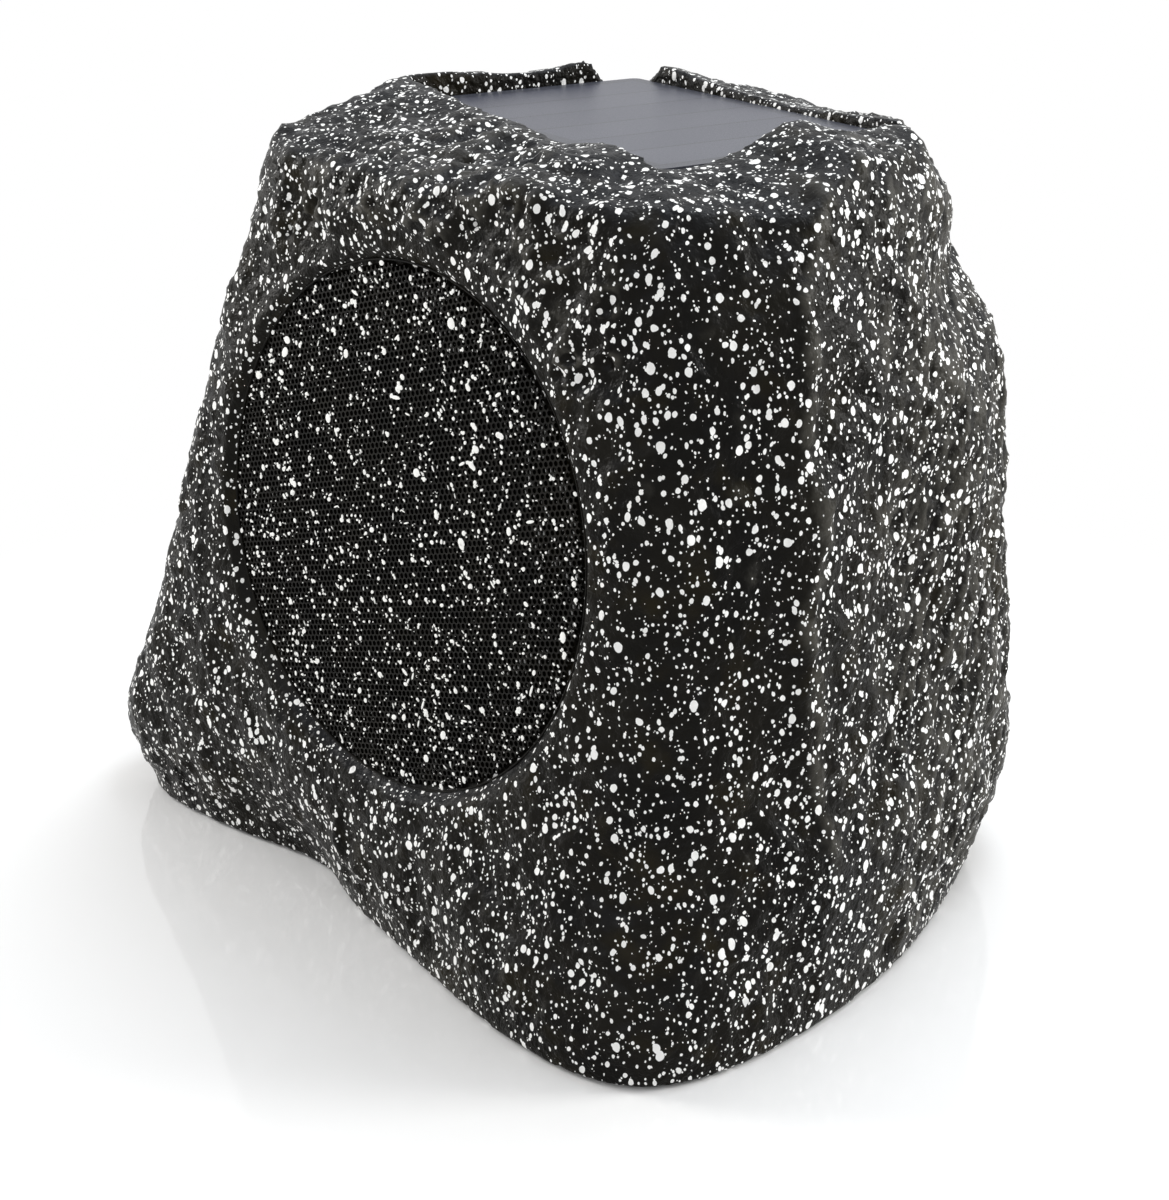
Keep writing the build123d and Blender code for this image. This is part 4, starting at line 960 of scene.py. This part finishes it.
def make_floor():
    bm = bmesh.new()
    bmesh.ops.create_grid(
        bm, x_segments=FLOOR_STEPS, y_segments=FLOOR_STEPS, size=FLOOR_SIZE / 2
    )
    mesh = bpy.data.meshes.new("floor")
    bm.to_mesh(mesh)
    bm.free()
    floor = new_object("floor", mesh)
    graph = Graph("floor")
    graph.set(Base_Color=FLOOR_GREY, Roughness=FLOOR_ROUGHNESS)
    coordinate = graph.node("ShaderNodeTexCoord")
    length = graph.node("ShaderNodeVectorMath", operation="LENGTH")
    graph.link(coordinate.outputs["Object"], length.inputs[0])
    far = graph.ramp(length.outputs["Value"], FLOOR_WHITE_FROM, FLOOR_WHITE_FULL, smooth=True)
    white = graph.node("ShaderNodeEmission")
    white.inputs["Strength"].default_value = 1.0
    mix = graph.node("ShaderNodeMixShader")
    graph.link(graph.math("MULTIPLY", shown_rays(graph.tree), far), mix.inputs[0])
    graph.link(graph.shader.outputs["BSDF"], mix.inputs[1])
    graph.link(white.outputs[0], mix.inputs[2])
    graph.link(mix.outputs[0], graph.output.inputs["Surface"])
    mesh.materials.append(graph.material)


def make_world():
    world = bpy.data.worlds.new("studio")
    world.use_nodes = True
    tree = world.node_tree
    background = tree.nodes["Background"]
    background.inputs["Color"].default_value = (1.0, 1.0, 1.0, 1.0)
    level = tree.nodes.new("ShaderNodeMapRange")
    level.inputs["To Min"].default_value = WORLD_LIGHT
    level.inputs["To Max"].default_value = WORLD_WHITE
    tree.links.new(shown_rays(tree), level.inputs["Value"])
    tree.links.new(level.outputs["Result"], background.inputs["Strength"])
    bpy.context.scene.world = world


def area_light(name, place, aim, size, power, colour):
    data = bpy.data.lights.new(name, "AREA")
    data.shape = "RECTANGLE"
    data.size, data.size_y = size
    data.energy = power
    data.color = colour
    lamp = bpy.data.objects.new(name, data)
    lamp.location = place
    lamp.rotation_euler = (Vector(aim) - Vector(place)).to_track_quat("-Z", "Y").to_euler()
    bpy.context.scene.collection.objects.link(lamp)


def make_camera():
    data = bpy.data.cameras.new("camera")
    data.lens = 60.0
    data.sensor_width = 36.0
    data.clip_start = 0.02
    camera = bpy.data.objects.new("camera", data)
    camera.location = CAMERA_AT
    camera.rotation_euler = (math.radians(90 - CAMERA_DOWN), 0.0, math.radians(CAMERA_TURN))
    bpy.context.scene.collection.objects.link(camera)
    bpy.context.scene.camera = camera


# Pieces

rock = make_rock()
grille = make_grille()
paint = make_grille_paint()
control_screws = make_screws("control_screws", BACK_OUT)
base_screws = make_screws("base_screws", (0.0, 0.0, -1.0))
power_sign = [(ring_line(2.3, 128, 412, 26), False), ([(0.0, 0.7), (0.0, 3.0)], False)]
pair_sign = [(ring_line(2.4, 0, 350, 36), True), (ring_line(0.9, 0, 340, 18), True)]
power_mark = make_mark("power_button", power_sign)
pair_mark = make_mark("pair_button", pair_sign)

# Plain finishes: colour, roughness, size of the grain, its depth, and what wears them
zinc = plain_material(
    "zinc_steel", (0.62, 0.62, 0.61), 0.3, 0.5, 0.03, metallic=1.0, spread=0.1
)
motor = plain_material(
    "motor_steel", (0.5, 0.5, 0.51), 0.34, 0.3, 0.03, metallic=1.0, spread=0.1
)
copper = plain_material(
    "copper_wire", (0.78, 0.36, 0.18), 0.28, 0.25, 0.05, metallic=1.0, stretch=(0.2, 2.0, 0.2)
)
sink = plain_material(
    "sink_aluminium", (0.68, 0.69, 0.7), 0.36, 0.3, 0.04,
    metallic=1.0, spread=0.08, stretch=(0.15, 2.0, 2.0),
)
laminate = plain_material("laminate", linear(28, 92, 58), 0.32, 0.4, 0.04, spread=0.12)
lens = plain_material("lens", linear(214, 224, 236), 0.22, 0.4, 0.03, spread=0.05)
mark_ink = plain_material("mark_ink", linear(205, 205, 202), 0.5, 0.3, 0.03, spread=0.05)
black = plain_material("black_plastic", linear(34, 34, 35), 0.5, 0.5, 0.12)
rubber = plain_material("rubber", linear(26, 26, 26), 0.7, 0.4, 0.06)
foam = plain_material("foam", linear(38, 38, 38), 0.85, 0.5, 0.2)
basket = plain_material("basket_paint", linear(22, 22, 23), 0.42, 0.5, 0.06)
paper = plain_material("cone_paper", linear(30, 29, 28), 0.75, 0.7, 0.18)
kraft = plain_material("kraft", linear(150, 118, 74), 0.7, 0.5, 0.1)
cloth = plain_material("spider_cloth", linear(168, 132, 62), 0.85, 0.5, 0.2)
ferrite = plain_material("ferrite", linear(58, 58, 60), 0.55, 0.35, 0.06)
fibre = plain_material("fibre_board", linear(112, 74, 42), 0.65, 0.4, 0.1)
moulded = plain_material("component_plastic", linear(36, 36, 38), 0.42, 0.4, 0.05)
sleeve = plain_material("capacitor_sleeve", linear(30, 34, 62), 0.35, 0.5, 0.03)
cell_wrap = plain_material("cell_wrap", linear(42, 96, 146), 0.35, 0.6, 0.04)
silicon = plain_material("silicon", linear(34, 38, 58), 0.3, 0.4, 0.02)
tray = plain_material("tray_plastic", linear(44, 44, 46), 0.5, 0.5, 0.1)
looks = {
    panel_material(): ["solar_cover"],
    black: ["base_plate", "control_plate"],
    rubber: ["rubber_feet", "surround", "inlet_cover", "power_button", "pair_button"],
    foam: ["panel_tape", "base_seal", "speaker_gasket", "control_seal"],
    zinc: ["speaker_screws", "control_board_screws", "board_screws", "cover_pin"],
    motor: ["top_plate", "pole_yoke"],
    laminate: ["control_board", "amplifier_board"],
    basket: ["speaker_basket"],
    paper: ["speaker_cone", "dust_cap"],
    kraft: ["coil_former"],
    copper: ["voice_coil"],
    cloth: ["spider"],
    ferrite: ["magnet"],
    fibre: ["terminal_strip"],
    lens: ["led_lens"],
    moulded: ["tact_switches", "status_led", "charge_inlet", "connectors"],
    sink: ["heat_sink"],
    sleeve: ["capacitors"],
    cell_wrap: ["battery_cells"],
    silicon: ["solar_cells", "solar_board"],
    tray: ["battery_holder"],
}
for material, names in looks.items():
    for name in names:
        dress(nodes[name], material)
for piece, material in (
    (rock, rock_material()),
    (grille, grille_material()),
    (paint, paint_material()),
    (control_screws, zinc),
    (base_screws, zinc),
    (power_mark, mark_ink),
    (pair_mark, mark_ink),
):
    dress(piece, material)

make_floor()
make_world()
area_light(
    "top", place=(0.10, 0.25, 1.10), aim=(0.02, 0.0, 0.15),
    size=(0.5, 0.4), power=4.5, colour=(0.90, 0.95, 1.0),
)
area_light(
    "left", place=(-0.95, -0.55, 0.55), aim=(0.0, 0.0, 0.13),
    size=(0.3, 0.6), power=7.0, colour=(1.0, 0.98, 0.95),
)
area_light(
    "right", place=(0.75, 0.75, 0.50), aim=(0.05, 0.0, 0.13),
    size=(0.3, 0.6), power=7.0, colour=(1.0, 0.99, 0.97),
)
make_camera()
bpy.context.scene.view_settings.view_transform = "Standard"
